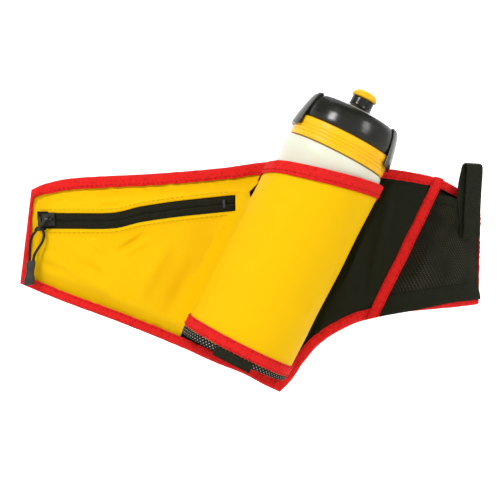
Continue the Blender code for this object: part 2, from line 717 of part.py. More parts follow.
def holster_trim(frame):
    """Red tape over the mouth, red hem, elastic skirt, floor and tab of the holster."""
    lip_in = (SLEEVE_INNER - 1.0 * MM, SLEEVE_INNER - GAP)
    lip_out = (SLEEVE_OUTER + GAP, SLEEVE_OUTER + 1.0 * MM)
    stations = sleeve_path(SLEEVE_TRIM_END)

    def mouth(station):
        top = sleeve_top(station)
        low, roof = top - 6.2 * MM, top + GAP
        return [(lip_in[0], low), (lip_in[1], low), (lip_in[1], roof), (lip_out[0], roof), (lip_out[0], low),
                (lip_out[1], low), (lip_out[1], roof + 0.7 * MM), (lip_in[0], roof + 0.7 * MM)]

    sleeve_band("holster_mouth_binding", frame, mouth, RED, 0.8, stations)
    hem = strip_outline(lip_out[0], lip_out[1], 0.2 * MM, 7.5 * MM)
    sleeve_band("holster_hem", frame, lambda station: hem, RED, 0.8, stations)
    skirt = strip_outline(SLEEVE_INNER, SLEEVE_OUTER, -6.0 * MM, -GAP)
    sleeve_band("holster_skirt", frame, lambda station: skirt, BLACK, 0.8, stations)
    tab = strip_outline(lip_out[0], lip_out[1] + 0.6 * MM, -11 * MM, -0.4 * MM)
    tab_stations = [(0, mix(-24, 12, t), 0.0) for t in even(6)]
    sleeve_band("holster_tab", frame, lambda station: tab, BLACK, 0.7, tab_stations)
    rim = SLEEVE_INNER - GAP
    floor = [sleeve_point(station, rim, 0) for station in sleeve_path(SLEEVE_TRIM_END, 14)]
    outline = [(p.x, p.y) for p in floor]
    plate = prism(outline, lambda u, v, h: Vector((u, v, h)), -1.6 * MM, -0.5 * MM)
    finish("holster_floor", plate, BLACK, 0.8, parent=frame)


# ---------------------------------------------------------------- bottle

def bottle_parts(frame):
    """Hollow squeeze bottle as three solids: base disc, straight wall, and grooved shoulder with its neck."""
    r = BOTTLE_RADIUS
    wall = BOTTLE_WALL
    heel, waist = 2.4 * MM, 112 * MM
    base = [(0, 0), (29 * MM, 0), (32.4 * MM, 1.4 * MM), (32.6 * MM, heel), (0, heel)]
    finish("bottle_base", turned(base), WHITE, 0.35, parent=frame)
    tube = [(32.7 * MM, heel + GAP), (r, 5 * MM), (r, waist), (r - wall, waist), (r - wall, 6 * MM),
            (29.4 * MM, heel + GAP)]
    finish("bottle_wall", turned(tube), WHITE, 0.35, parent=frame)
    outer = [(r, waist + GAP), (r - 1.3 * MM, 120 * MM), (r - 1.3 * MM, 127 * MM), (r - 0.2 * MM, 134 * MM),
             (r - 1.0 * MM, BOTTLE_SHOULDER), (NECK_RADIUS, BOTTLE_SHOULDER + 0.2 * MM), (NECK_RADIUS, NECK_TOP)]
    inner = [(NECK_RADIUS - wall, NECK_TOP), (NECK_RADIUS - wall, BOTTLE_SHOULDER - 2 * MM),
             (r - 3.5 * MM, 132 * MM), (r - 3 * MM, 120 * MM), (r - wall, waist + GAP)]
    finish("bottle_shoulder", turned(outer + inner), WHITE, 0.35, parent=frame)


def cap_parts(frame):
    """Screw cap: ribbed ring, domed lid with its nozzle tube, side grips, seal and pull valve."""
    ring_in, ring_out, groove = NECK_RADIUS + 0.5 * MM, 32.5 * MM, 32.1 * MM
    low = BOTTLE_SHOULDER + 0.6 * MM
    profile = [(ring_in, low), (ring_out, low)]
    for start in (4.2 * MM, 7.6 * MM):
        profile += [(ring_out, low + start), (groove, low + start + 0.3 * MM),
                    (groove, low + start + 0.8 * MM), (ring_out, low + start + 1.1 * MM)]
    profile += [(ring_out - 0.4 * MM, CAP_SPLIT - GAP), (ring_in, CAP_SPLIT - GAP)]
    finish("cap_ring", turned(profile), YELLOW, 0.4, parent=frame)

    tube_in = NOZZLE_RADIUS - 1.4 * MM
    dome_out = [(31 * MM, CAP_SPLIT), (30.3 * MM, 160 * MM), (28.8 * MM, 167 * MM), (27 * MM, 169.2 * MM),
                (18 * MM, 171.4 * MM), (NOZZLE_RADIUS + 1 * MM, CAP_TOP), (NOZZLE_RADIUS, CAP_TOP + 1 * MM),
                (NOZZLE_RADIUS, NOZZLE_TOP)]
    dome_in = [(tube_in, NOZZLE_TOP), (tube_in, 169.5 * MM), (25.5 * MM, 167.2 * MM), (27.2 * MM, 165 * MM),
               (28.6 * MM, 160.4 * MM), (28.8 * MM, CAP_SPLIT)]
    finish("cap_dome", turned(dome_out + dome_in), (0.012, 0.012, 0.01), 0.15, parent=frame)

    seal = [(25.6 * MM, NECK_TOP + GAP), (28.0 * MM, NECK_TOP + GAP), (28.0 * MM, NECK_TOP + 1.8 * MM),
            (25.6 * MM, NECK_TOP + 1.8 * MM)]
    finish("cap_seal", turned(seal, 32), (0.5, 0.5, 0.48), 0.6, parent=frame)

    for name, centre in (("left", -90), ("right", 90)):
        cap_grip(f"cap_grip_{name}", frame, centre)

    stem, bore = tube_in - 0.4 * MM, 3.6 * MM
    tip = [(bore, 167 * MM), (stem, 167 * MM), (stem, NOZZLE_TOP + GAP), (8.4 * MM, NOZZLE_TOP + GAP),
           (8.6 * MM, NOZZLE_TOP + 1.3 * MM), (7.0 * MM, TIP_TOP - 1.2 * MM), (4.6 * MM, TIP_TOP),
           (bore, TIP_TOP - 0.2 * MM)]
    finish("valve_tip", turned(tip, 28), YELLOW, 0.45, parent=frame)
    plug = [(0, 163 * MM), (1.8 * MM, 163 * MM), (1.8 * MM, 182 * MM), (1.2 * MM, 183.4 * MM), (0, 183.4 * MM)]
    finish("valve_plug", turned(plug, 16), YELLOW, 0.45, parent=frame)


def cap_grip(name, frame, centre):
    """A thumb wing that stands off the dome's side and reaches down over the ring."""
    rings = [(33.3, 34.8, 146.0), (32.9, 34.4, 150), (32.0, 33.4, 156), (30.9, 32.2, 161.5),
             (29.5, 30.8, 167.0), (28.0, 29.2, 169.4)]
    half = 30

    def surface(a, b, side):
        angle = math.radians(centre + mix(-half, half, a))
        inner, outer, height = rings[round(b * (len(rings) - 1))]
        radius = (outer if side else inner) * MM
        return Vector((radius * math.sin(angle), -radius * math.cos(angle), height * MM))

    bm = sheet_solid(surface, even(8), even(len(rings) - 1))
    finish(name, bm, (0.012, 0.012, 0.01), 0.2, parent=frame)


# ---------------------------------------------------------------- belt

def strap(name, path, s0, s1, steps, lean=0.0):
    """Flat webbing from s0 to s1: path lists the (z, d) it passes through and the outward (z, d) there."""
    def surface(a, b, side):
        z, d, nz, nd = path[b]
        lift = (side - 0.5) * STRAP_THICKNESS
        shift = lean * (z - path[0][0])
        return wrap(mix(s0, s1, a) + shift, z + nz * lift, d + nd * lift)

    finish(name, sheet_solid(surface, even(steps), range(len(path))), BLACK, 0.75)


def belt_straps():
    """The belt's two straps behind the wings, and the webbing loop in front of the right wing."""
    half = STRAP_WIDTH / 2
    middle = STRAP_D + STRAP_THICKNESS / 2
    flat = [(STRAP_Z - half, middle, 0, 1), (STRAP_Z + half, middle, 0, 1)]
    strap("left_belt_strap", flat, -150 * MM, BUCKLE_LEFT - GAP, 22)
    strap("right_belt_strap", flat, BUCKLE_LEFT + FEMALE_LENGTH + 3 * MM, 160 * MM, 20)
    radius = (LOOP_FRONT - LOOP_REAR) / 2
    fold = [(LOOP_LOW, LOOP_REAR, 0, -1), (mix(LOOP_LOW, LOOP_CROWN, 0.5), LOOP_REAR, 0, -1)]
    for t in even(8):
        angle = math.pi * t
        fold.append((LOOP_CROWN + radius * math.sin(angle), LOOP_REAR + radius * (1 - math.cos(angle)),
                     math.sin(angle), -math.cos(angle)))
    fold.append((mix(LOOP_LOW, LOOP_CROWN, 0.5), LOOP_FRONT, 0, 1))
    fold.append((LOOP_LOW, LOOP_FRONT, 0, 1))
    strap("webbing_loop", fold, *LOOP_SPAN, 3, lean=LOOP_LEAN)


def ring_tube(outer, inner, s0, s1):
    """A rectangular collar with a straight way through it along the waist; sizes are (z, d) ranges."""
    def corners(box):
        (z0, z1), (d0, d1) = box
        return [(z0, d0), (z1, d0), (z1, d1), (z0, d1)]

    loops = []
    for (zo, do), (zi, di) in zip(corners(outer), corners(inner)):
        loops.append([wrap(s0, zo, do), wrap(s1, zo, do), wrap(s1, zi, di), wrap(s0, zi, di)])
    return swept(loops, closed=True)


def buckle():
    """Side-release buckle: the female housing on the left strap, the male adjuster on the right one."""
    z = STRAP_Z
    body_half, cavity_half = 16 * MM, 13.6 * MM
    female = ring_tube(((z - body_half, z + body_half), (-13.2 * MM, -5.4 * MM)),
                       ((z - cavity_half, z + cavity_half), (-11.7 * MM, -8.7 * MM)),
                       BUCKLE_LEFT, BUCKLE_LEFT + FEMALE_LENGTH)
    finish("buckle_female", female, BLACK, 0.45)
    start = BUCKLE_LEFT + FEMALE_LENGTH + GAP
    male = ring_tube(((z - body_half, z + body_half), (-12.0 * MM, -5.4 * MM)),
                     ((z - 13 * MM, z + 13 * MM), (-8.6 * MM, -6.4 * MM)), start, start + MALE_LENGTH)
    male = finish("buckle_male", male, BLACK, 0.45)
    for name, sign in (("low", -1), ("high", 1)):
        arm = [(start - 20 * MM, z + sign * 9 * MM), (start - 15 * MM, z + sign * 13 * MM),
               (start - 11 * MM, z + sign * 13 * MM), (start + 2 * MM, z + sign * 12 * MM),
               (start + 2 * MM, z + sign * 8 * MM), (start - 18 * MM, z + sign * 8 * MM)]
        joined(male, prism(arm, wrap, -11.3 * MM, -9.1 * MM), f"buckle_arm_{name}")
    half = STRAP_WIDTH / 2
    keeper = ring_tube(((z - half - 1.3 * MM, z + half + 1.3 * MM), (-9.6 * MM, -5.5 * MM)),
                       ((z - half - 0.4 * MM, z + half + 0.4 * MM), (-8.7 * MM, -6.4 * MM)),
                       98 * MM, 106 * MM)
    finish("strap_keeper", keeper, BLACK, 0.8)


def build():
    clear_scene()
    body_layer("back_lining", LINING, EDGE_INSET, BLACK, 0.9)
    body_layer("foam_pad", FOAM, 9 * MM, (0.05, 0.05, 0.05), 0.9, rows=2)
    body_layer("base_panel", CARRIER, EDGE_INSET, BLACK, 0.7)
    edge_binding()
    pocket_front()
    zip_parts()
    zip_pull(zip_slider())
    side_panel()
    trim_strip()
    mesh_pocket()
    frame = bottle_frame()
    holster_sleeve(frame)
    holster_trim(frame)
    bottle_parts(frame)
    cap_parts(frame)
    belt_straps()
    buckle()
    for obj in bpy.data.objects:
        if obj.parent is None:
            obj.location -= ORIGIN


build()
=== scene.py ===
"""Looks of the running waist pack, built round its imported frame.

Cloth pieces are drawn flat in (s, z, d), as the pack's pattern is: s along the waist, z up, d out from the
carrier fabric. wrap() bends the drawing round the waist. Holster and bottle pieces are drawn upright in the
bottle's own leaning frame and placed by upright(). Lengths are in metres.
"""
import math

import bmesh
import bpy
from mathutils import Matrix, Vector, noise


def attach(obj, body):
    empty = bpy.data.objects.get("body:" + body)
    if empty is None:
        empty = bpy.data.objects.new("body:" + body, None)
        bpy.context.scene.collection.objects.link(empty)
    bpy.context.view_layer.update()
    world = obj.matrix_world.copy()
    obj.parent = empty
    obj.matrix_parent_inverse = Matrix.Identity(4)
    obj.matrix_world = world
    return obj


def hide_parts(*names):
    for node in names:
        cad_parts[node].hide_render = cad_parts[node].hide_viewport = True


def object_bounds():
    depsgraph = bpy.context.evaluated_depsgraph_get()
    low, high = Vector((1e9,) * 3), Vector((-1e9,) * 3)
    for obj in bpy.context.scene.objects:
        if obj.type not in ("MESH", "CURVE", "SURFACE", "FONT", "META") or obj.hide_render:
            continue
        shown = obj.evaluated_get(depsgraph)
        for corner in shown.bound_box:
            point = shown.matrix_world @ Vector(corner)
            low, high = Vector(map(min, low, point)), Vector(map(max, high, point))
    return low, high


MM = 0.001

# Waist curve in plan
LEFT_BEND_START = 8 * MM
LEFT_BEND_RADIUS = 127 * MM
LEFT_WING_ANGLE = math.radians(9)
RIGHT_BEND_START = 90 * MM
RIGHT_BEND_RADIUS = 85 * MM
ORIGIN = Vector((22, 5, 76.5)) * MM

# Flat outline of the pack, in millimetres (s, z)
TOP_EDGE = [(-151, 136), (-141, 140), (-121, 143.6), (-67, 146), (-21, 149.3), (18, 153.5), (56, 152.5),
            (94, 148.5), (125, 143.5), (146, 136), (168, 128)]
BOTTOM_EDGE = [(-159, 71.5), (-132, 60.8), (-88, 45.2), (-45, 28.5), (-23, 19), (-5, 12.3), (11, 4), (20, 0),
               (28.5, 9), (34.6, 18.3), (46.5, 32), (60, 41), (75, 47.4), (108, 53.6), (166, 57)]
TOP_CURVE = [(s * MM, z * MM) for s, z in TOP_EDGE]
BOTTOM_CURVE = [(s * MM, z * MM) for s, z in BOTTOM_EDGE]
TIP_INDEX = BOTTOM_EDGE.index((20, 0))
BOTTOM_LEFT = BOTTOM_CURVE[:TIP_INDEX + 1]
BOTTOM_RIGHT = BOTTOM_CURVE[TIP_INDEX:]
TIP_S = 20 * MM

# Layers, as heights above the carrier fabric's face
BINDING_WIDTH = 7 * MM
BINDING_BACK = -6.0 * MM
BINDING_FRONT = 2.5 * MM
EDGE_INSET = 1.3 * MM
CLOTH = 0.6 * MM

# Bottle and holster
TILT = math.radians(27)
BOTTLE_BASE = Vector((-9.0, -36.5, 30.5)) * MM
SLEEVE_RADIUS = 36 * MM
SLEEVE_TOP = 126 * MM
SLEEVE_TOP_SLANT = 8.5 * MM
SLEEVE_SEAM = 37.3 * MM
HOLSTER_SIDE = -35.6 * MM
SEAM_FOOT = 29 * MM
SEAM_LIP = 127.5 * MM
SEAM_TOP = 152 * MM
SEAM_DRIFT = 7 * MM
SLEEVE_LEG = 33.5 * MM
TAPE_LEG = 27 * MM
TAPE_RUN = 170 * MM
UPRIGHT = Matrix.Translation(BOTTLE_BASE - ORIGIN) @ Matrix.Rotation(TILT, 4, "Y")

# Zip pocket
ZIP_LEFT = (-144 * MM, 114.4 * MM)
ZIP_RIGHT = (-14 * MM, 125 * MM)
ZIP_HALF = 5.8 * MM
ZIP_TAIL = 1.045
SLIDER_OFFSET = 7.5 * MM
BAR_HEIGHT = 4.9 * MM
CORD_DIAMETER = 1.8 * MM
COIL_TURNS = 65
POCKET_DEPTH_LEFT = 4.5 * MM
POCKET_DEPTH_RIGHT = 10.5 * MM
ZIP_STITCH = 7.6 * MM
COIL_OFFSET = 1.75 * MM
SWEEP_REACH = 11 * MM
SLOT_ROWS = (54, 58)
WING_ROWS = 90

# The grip's ends in the puller's own frame, in millimetres (u, v)
GRIP_TOP = (-13.3, -26.4)
GRIP_FOOT = (-16.3, -43.0)

# Right wing
STRIP_LOW = (82 * MM, 52.5 * MM)
STRIP_HIGH = (124.5 * MM, 139.5 * MM)
STRIP_HALF = 3.9 * MM
MESH_TOP = ((124 * MM, 126 * MM), (165.5 * MM, 114.5 * MM))
MESH_DEPTH = 9 * MM

# Belt and the webbing loop
STRAP_Z = 100 * MM
LOOP_SPAN = (138.3 * MM, 151.5 * MM)
LOOP_REAR = 8.8 * MM
LOOP_FRONT = 12.2 * MM
LOOP_LOW = 102.5 * MM
LOOP_CROWN = 150.8 * MM
LOOP_LEAN = 0.07
LOOP_SWAY = 4 * MM
STRAP_HALF = 12.5 * MM
STRAP_FACE = -6.9 * MM
WEBBING = 1.3 * MM

# Thread stitches
STITCH_PITCH = 3.3 * MM
STITCH_LENGTH = 2.3 * MM
STITCH_RADIUS = 0.3 * MM

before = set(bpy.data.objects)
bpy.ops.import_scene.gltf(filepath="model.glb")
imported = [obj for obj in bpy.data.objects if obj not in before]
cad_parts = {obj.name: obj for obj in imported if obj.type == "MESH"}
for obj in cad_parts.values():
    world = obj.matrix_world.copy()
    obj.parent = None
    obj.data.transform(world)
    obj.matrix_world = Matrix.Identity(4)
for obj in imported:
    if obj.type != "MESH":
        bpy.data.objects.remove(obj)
CAD_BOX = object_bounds()


# ---------------------------------------------------------------- the flat drawing and its bend

def mix(a, b, t):
    return a + (b - a) * t


def smooth(t):
    t = min(max(t, 0.0), 1.0)
    return t * t * (3 - 2 * t)


def ramp(x, start, width):
    """0 up to start and 1 beyond start + width, which are in millimetres."""
    return smooth((x - start * MM) / (width * MM))


def even(count):
    return [i / count for i in range(count + 1)]


def through(points, x):
    """Height at x of the smooth curve through the points."""
    last = len(points) - 2
    i = min(max(sum(1 for p in points if p[0] <= x) - 1, 0), last)
    (x0, y0), (x1, y1) = points[i], points[i + 1]

    def slope(k):
        if k == 0 or k == last + 1:
            j = min(k, last)
            return (points[j + 1][1] - points[j][1]) / (points[j + 1][0] - points[j][0])
        before = (points[k][1] - points[k - 1][1]) / (points[k][0] - points[k - 1][0])
        after = (points[k + 1][1] - points[k][1]) / (points[k + 1][0] - points[k][0])
        if before * after <= 0:
            return 0.0
        return 2 * before * after / (before + after)

    span = x1 - x0
    t = min(max((x - x0) / span, 0.0), 1.0)
    h00 = (1 + 2 * t) * (1 - t) ** 2
    h10 = t * (1 - t) ** 2
    h01 = t * t * (3 - 2 * t)
    h11 = t * t * (t - 1)
    return h00 * y0 + h10 * span * slope(i) + h01 * y1 + h11 * span * slope(i + 1)


def top_z(s, inset=0.0):
    slope = (through(TOP_CURVE, s + MM) - through(TOP_CURVE, s - MM)) / (2 * MM)
    return through(TOP_CURVE, s) - inset * math.hypot(1, slope)


def bottom_z(s, inset=0.0):
    curve = BOTTOM_LEFT if s < TIP_S else BOTTOM_RIGHT
    slope = (through(curve, s + MM) - through(curve, s - MM)) / (2 * MM)
    return through(curve, s) + inset * math.hypot(1, slope)


def plan(s):
    """Plan position and heading of the waist curve at s."""
    if s > RIGHT_BEND_START:
        turn = (s - RIGHT_BEND_START) / RIGHT_BEND_RADIUS
        x = RIGHT_BEND_START + RIGHT_BEND_RADIUS * math.sin(turn)
        return x, RIGHT_BEND_RADIUS * (1 - math.cos(turn)), turn
    if s >= LEFT_BEND_START:
        return s, 0.0, 0.0
    turn = min((LEFT_BEND_START - s) / LEFT_BEND_RADIUS, LEFT_WING_ANGLE)
    straight = LEFT_BEND_START - s - turn * LEFT_BEND_RADIUS
    x = LEFT_BEND_START - LEFT_BEND_RADIUS * math.sin(turn) - straight * math.cos(turn)
    y = LEFT_BEND_RADIUS * (1 - math.cos(turn)) + straight * math.sin(turn)
    return x, y, -turn


def wrap(s, z, d):
    x, y, heading = plan(s)
    return Vector((x + d * math.sin(heading), y - d * math.cos(heading), z)) - ORIGIN


def outward(s, z):
    """The direction out from the pack's face at a flat place."""
    return (wrap(s, z, 1) - wrap(s, z, 0)).normalized()


def upright(x, y, z):
    return UPRIGHT @ Vector((x, y, z))


def creases(s, z, folds):
    """Height of soft folds ((s, z), (s, z), width, height) in millimetres, each fading out at both ends."""
    total = 0.0
    for (s0, z0), (s1, z1), width, height in folds:
        run, rise = s1 - s0, z1 - z0
        ahead, above = s / MM - s0, z / MM - z0
        length = math.hypot(run, rise)
        t = (ahead * run + above * rise) / length ** 2
        if 0 < t < 1:
            off = (ahead * rise - above * run) / length
            total += height * MM * math.exp(-(off / width) ** 2) * math.sin(math.pi * t) ** 0.7
    return total


def ripple(u, v, scale, seed):
    """Smooth noise from -1 to 1 whose bumps are about scale metres across."""
    return noise.noise(Vector((u / scale, v / scale, seed)))


# ---------------------------------------------------------------- mesh building

def link(name, data):
    obj = bpy.data.objects.new(name, data)
    bpy.context.scene.collection.objects.link(obj)
    return obj


def place_mesh(name, bm, look, body, replaced=(), angle=50):
    """A new piece, whose slot holds its look's material."""
    mesh = bpy.data.meshes.new(name)
    bm.to_mesh(mesh)
    bm.free()
    mesh.shade_smooth()
    mesh.set_sharp_from_angle(angle=math.radians(angle))
    mesh.materials.append(LOOKS[look])
    obj = link(name, mesh)
    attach(obj, body)
    if replaced:
        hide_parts(*replaced)
    return obj


def distances(lines, count):
    """Mean distance travelled at each of the lines' first count points, measured on every third line."""
    sample = lines[::3]
    total = [0.0]
    for i in range(1, count):
        steps = [(line[i % len(line)] - line[i - 1]).length for line in sample]
        total.append(total[-1] + sum(steps) / len(steps))
    return total


def grid_mesh(points, closed_u=False, hole=None):
    """A quad grid with a "cloth" UV map in metres, measured along the grid's own lines."""
    bm = bmesh.new()
    layer = bm.loops.layers.uv.new("cloth")
    columns, rows = len(points), len(points[0])
    along = distances(list(zip(*points)), columns + 1 if closed_u else columns)
    across = distances(points, rows)
    verts = [[bm.verts.new(p) for p in column] for column in points]
    for i in range(columns if closed_u else columns - 1):
        for j in range(rows - 1):
            if hole and hole(i, j):
                continue
            k = (i + 1) % columns
            face = bm.faces.new((verts[i][j], verts[k][j], verts[k][j + 1], verts[i][j + 1]))
            for loop, (a, b) in zip(face.loops, ((i, j), (i + 1, j), (i + 1, j + 1), (i, j + 1))):
                loop[layer].uv = (along[a], across[b])
    bmesh.ops.delete(bm, geom=[v for v in bm.verts if not v.link_faces], context="VERTS")
    return bm


def thicken(obj, thickness, offset=-1.0):
    solid = obj.modifiers.new("thickness", "SOLIDIFY")
    solid.thickness = thickness
    solid.offset = offset
    return obj


def round_edges(obj, width, segments=3):
    bevel = obj.modifiers.new("round_edges", "BEVEL")
    bevel.width = width
    bevel.segments = segments
    bevel.limit_method = "ANGLE"


def path_length(points):
    return sum((q - p).length for p, q in zip(points, points[1:]))


def declare_panel(points):
    """Measure a sewn cloth panel's longest grid lines each way; nothing is declared and the lengths are not
    used.
    """
    lines = [points, list(zip(*points))]
    longest = [max(path_length(line) for line in group) for group in lines]
    for left, right in zip(points, points[1:]):
        for p, q, r, s in zip(left, right, right[1:], left[1:]):
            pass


def cloth(name, surface, columns, rows, look, replaced, thickness=CLOTH, body="pack", panel_on=None):
    """A cloth piece: surface(a, b) gives the outer face's points for a and b from 0 to 1."""
    points = [[surface(a, b) for b in even(rows)] for a in even(columns)]
    obj = place_mesh(name, grid_mesh(points), look, body, replaced)
    if panel_on:
        declare_panel(points)
    return thicken(obj, thickness)


def smooth_route(points, steps=4):
    """Points along the smooth curve that passes through the given ones."""
    made = []
    for i in range(len(points) - 1):
        before, a, b = points[max(i - 1, 0)], points[i], points[i + 1]
        after = points[min(i + 2, len(points) - 1)]
        for k in range(steps):
            t = k / steps
            made.append(a * (2 * t ** 3 - 3 * t * t + 1) + (b - before) / 2 * (t ** 3 - 2 * t * t + t)
                        + b * (3 * t * t - 2 * t ** 3) + (after - a) / 2 * (t ** 3 - t * t))
    return made + [points[-1]]


def tube(bm, path, radii, sides, flat=Vector((0, 0, 1))):
    """Add a round tube, closed at both ends, that has one of the radii at each of the path's points."""
    rings = []
    for i, (point, r) in enumerate(zip(path, radii)):
        ahead = path[min(i + 1, len(path) - 1)] - path[max(i - 1, 0)]
        side = ahead.cross(flat).normalized()
        up = side.cross(ahead).normalized()
        ring = []
        for k in range(sides):
            turn = math.tau * k / sides
            ring.append(bm.verts.new(point + side * r * math.cos(turn) + up * r * math.sin(turn)))
        rings.append(ring)
    for first, second in zip(rings, rings[1:]):
        for k in range(sides):
            bm.faces.new((first[k], first[(k + 1) % sides], second[(k + 1) % sides], second[k]))
    bm.faces.new(list(reversed(rings[0])))
    bm.faces.new(rings[-1])


def stitches(name, lines, look):
    """Rows of thread stitches. Each line is a list of (point, outward direction) along a seam."""
    bm = bmesh.new()
    thick, thin = STITCH_RADIUS, STITCH_RADIUS * 0.7
    for line in lines:
        travelled = 0.0
        due = STITCH_PITCH / 2
        for (p, out), (q, _) in zip(line, line[1:]):
            step = (q - p).length
            while step > 0 and travelled + step >= due:
                centre = p.lerp(q, (due - travelled) / step)
                half = (q - p).normalized() * STITCH_LENGTH / 2
                arch = [(-1, -0.7), (-0.6, 0.3), (0, 0.5), (0.6, 0.3), (1, -0.7)]
                path = [centre + half * share + out * thick * rise for share, rise in arch]
                tube(bm, path, [thin, thick, thick, thick, thin], 6, out)
                due += STITCH_PITCH
            travelled += step
    bmesh.ops.recalc_face_normals(bm, faces=bm.faces)
    place_mesh(name, bm, look, "pack")


# ---------------------------------------------------------------- materials

class Shade:
    """A Principled material under construction, with short calls for its nodes."""

    def __init__(self, name, colour, roughness, **sockets):
        self.name = name
        self.material = bpy.data.materials.new(name)
        self.material.use_nodes = True
        self.tree = self.material.node_tree
        self.shader = self.tree.nodes["Principled BSDF"]
        self.colour = colour
        self.set("Base Color", (*colour, 1.0))
        self.set("Roughness", roughness)
        for socket, value in sockets.items():
            self.set(socket.replace("_", " "), value)

    def set(self, socket, value):
        target = self.shader.inputs[socket]
        if isinstance(value, bpy.types.NodeSocket):
            self.tree.links.new(value, target)
        else:
            target.default_value = value

    def node(self, kind, settings=None, **inputs):
        made = self.tree.nodes.new(kind)
        for key, value in (settings or {}).items():
            setattr(made, key, value)
        for key, value in inputs.items():
            socket = made.inputs[int(key[1:])] if key[1:].isdigit() else made.inputs[key.replace("_", " ")]
            if isinstance(value, bpy.types.NodeSocket):
                self.tree.links.new(value, socket)
            else:
                socket.default_value = value
        return made

    def math(self, operation, a, b=0.0, clamp=False):
        settings = {"operation": operation, "use_clamp": clamp}
        return self.node("ShaderNodeMath", settings, i0=a, i1=b).outputs[0]

    def excess(self, value, level, gain):
        """How far a value stands above a level, times the gain, held between 0 and 1."""
        return self.math("MULTIPLY", self.math("SUBTRACT", value, level, clamp=True), gain, clamp=True)

    def cloth_uv(self):
        place = self.node("ShaderNodeUVMap", {"uv_map": "cloth"}).outputs[0]
        split = self.node("ShaderNodeSeparateXYZ", Vector=place)
        return split.outputs[0], split.outputs[1]

    def waves(self, coordinate, pitch):
        """1 at each crest and 0 in each trough of ribs that are pitch apart."""
        turned = self.math("SINE", self.math("MULTIPLY", coordinate, math.tau / pitch))
        return self.math("ADD", self.math("MULTIPLY", turned, 0.5), 0.5)

    def noise(self, size, detail=3.0):
        """Noise from 0 to 1 in object space, with features about size metres across."""
        place = self.node("ShaderNodeTexCoord").outputs["Object"]
        return self.node("ShaderNodeTexNoise", Vector=place, Scale=1 / size, Detail=detail).outputs[0]

    def tint(self, factor, amount, colour):
        """Blend the base colour towards another, by amount where factor is 1."""
        blend = self.node("ShaderNodeMix", {"data_type": "RGBA"})
        self.tree.links.new(self.math("MULTIPLY", factor, amount), blend.inputs[0])
        current = self.shader.inputs["Base Color"]
        if current.is_linked:
            self.tree.links.new(current.links[0].from_socket, blend.inputs[6])
        else:
            blend.inputs[6].default_value = current.default_value
        blend.inputs[7].default_value = (*colour, 1.0)
        self.tree.links.new(blend.outputs[2], current)

    def bump(self, height, distance, strength=1.0):
        made = self.node("ShaderNodeBump", Height=height, Distance=distance, Strength=strength)
        current = self.shader.inputs["Normal"]
        if current.is_linked:
            self.tree.links.new(current.links[0].from_socket, made.inputs["Normal"])
        self.tree.links.new(made.outputs[0], current)

    def uneven_roughness(self, size, low, high):
        spread = self.node("ShaderNodeMapRange", Value=self.noise(size), To_Min=low, To_Max=high)
        self.set("Roughness", spread.outputs[0])


CLOTH_SHINE = 0.06


def darker(colour, share):
    return tuple(c * share for c in colour)


def woven(name, colour, pitch, roughness):
    """Plain-woven cloth: crossing threads, slightly darker between them from painted shade, and uneven dye.
    """
    made = Shade(name, colour, roughness, Specular_IOR_Level=CLOTH_SHINE)
    u, v = made.cloth_uv()
    threads = made.math("MULTIPLY", made.waves(u, pitch), made.waves(v, pitch))
    gap_shade = made.math("SUBTRACT", 1.0, threads)
    # Painted shade: the gaps between the threads are tinted darker, standing for the shade in the weave's
    # hollows.
    made.tint(gap_shade, 0.35, darker(colour, 0.8))
    made.tint(made.noise(22 * MM), 0.3, darker(colour, 0.86))
    made.bump(threads, 0.08 * MM)
    made.bump(made.noise(6 * MM), 0.25 * MM, 0.5)
    return made


def ribbed(name, colour, pitch, roughness, across=False, depth=0.12 * MM):
    """Tape or webbing with ribs across its length, or along it."""
    made = Shade(name, colour, roughness, Specular_IOR_Level=CLOTH_SHINE)
    u, v = made.cloth_uv()
    ribs = made.waves(v if across else u, pitch)
    fine = made.waves(u if across else v, pitch * 0.7)
    # Painted shade: the troughs between the ribs are tinted darker, standing for the shade that falls in
    # them.
    made.tint(made.math("SUBTRACT", 1.0, ribs), 0.45, darker(colour, 0.6))
    made.tint(made.noise(9 * MM), 0.35, darker(colour, 0.72))
    # Painted shade: small dark blotches that stand for the shade in the tape's little puckers.
    made.tint(made.excess(made.noise(2.2 * MM), 0.5, 2.4), 1.0, darker(colour, 0.45))
    made.bump(made.noise(2.4 * MM), 0.5 * MM, 0.7)
    made.bump(made.math("ADD", ribs, made.math("MULTIPLY", fine, 0.35)), depth)
    return made


def netting(name, colour, fleck, pitch, amount, even_holes=False):
    """Open knitted net: a diagonal lattice of holes that show what is behind as small flecks."""
    made = Shade(name, colour, 0.8, Specular_IOR_Level=CLOTH_SHINE)
    u, v = made.cloth_uv()
    first = made.waves(made.math("ADD", u, v), pitch)
    second = made.waves(made.math("SUBTRACT", u, v), pitch)
    holes = made.math("MULTIPLY", first, second)
    open_holes = made.excess(holes, 0.45, 1.8)
    patchy = made.excess(made.noise(14 * MM), 0.35, 3.0)
    seen = open_holes if even_holes else made.math("MULTIPLY", open_holes, patchy)
    made.tint(seen, amount, fleck)
    made.bump(made.math("SUBTRACT", 1.0, open_holes), 0.35 * MM)
    return made


def moulded(name, colour, roughness, grain=0.02 * MM, **sockets):
    """Moulded plastic: fine grain, faint flow variation and a little unevenness in its gloss."""
    made = Shade(name, colour, roughness, **sockets)
    made.tint(made.noise(18 * MM), 0.2, darker(colour, 0.85))
    made.bump(made.noise(0.7 * MM, 2.0), grain, 0.6)
    made.uneven_roughness(9 * MM, roughness * 0.8, roughness * 1.25)
    return made


YELLOW = (0.86, 0.50, 0.0)
RED = (0.78, 0.018, 0.016)
BLACK = (0.014, 0.016, 0.008)


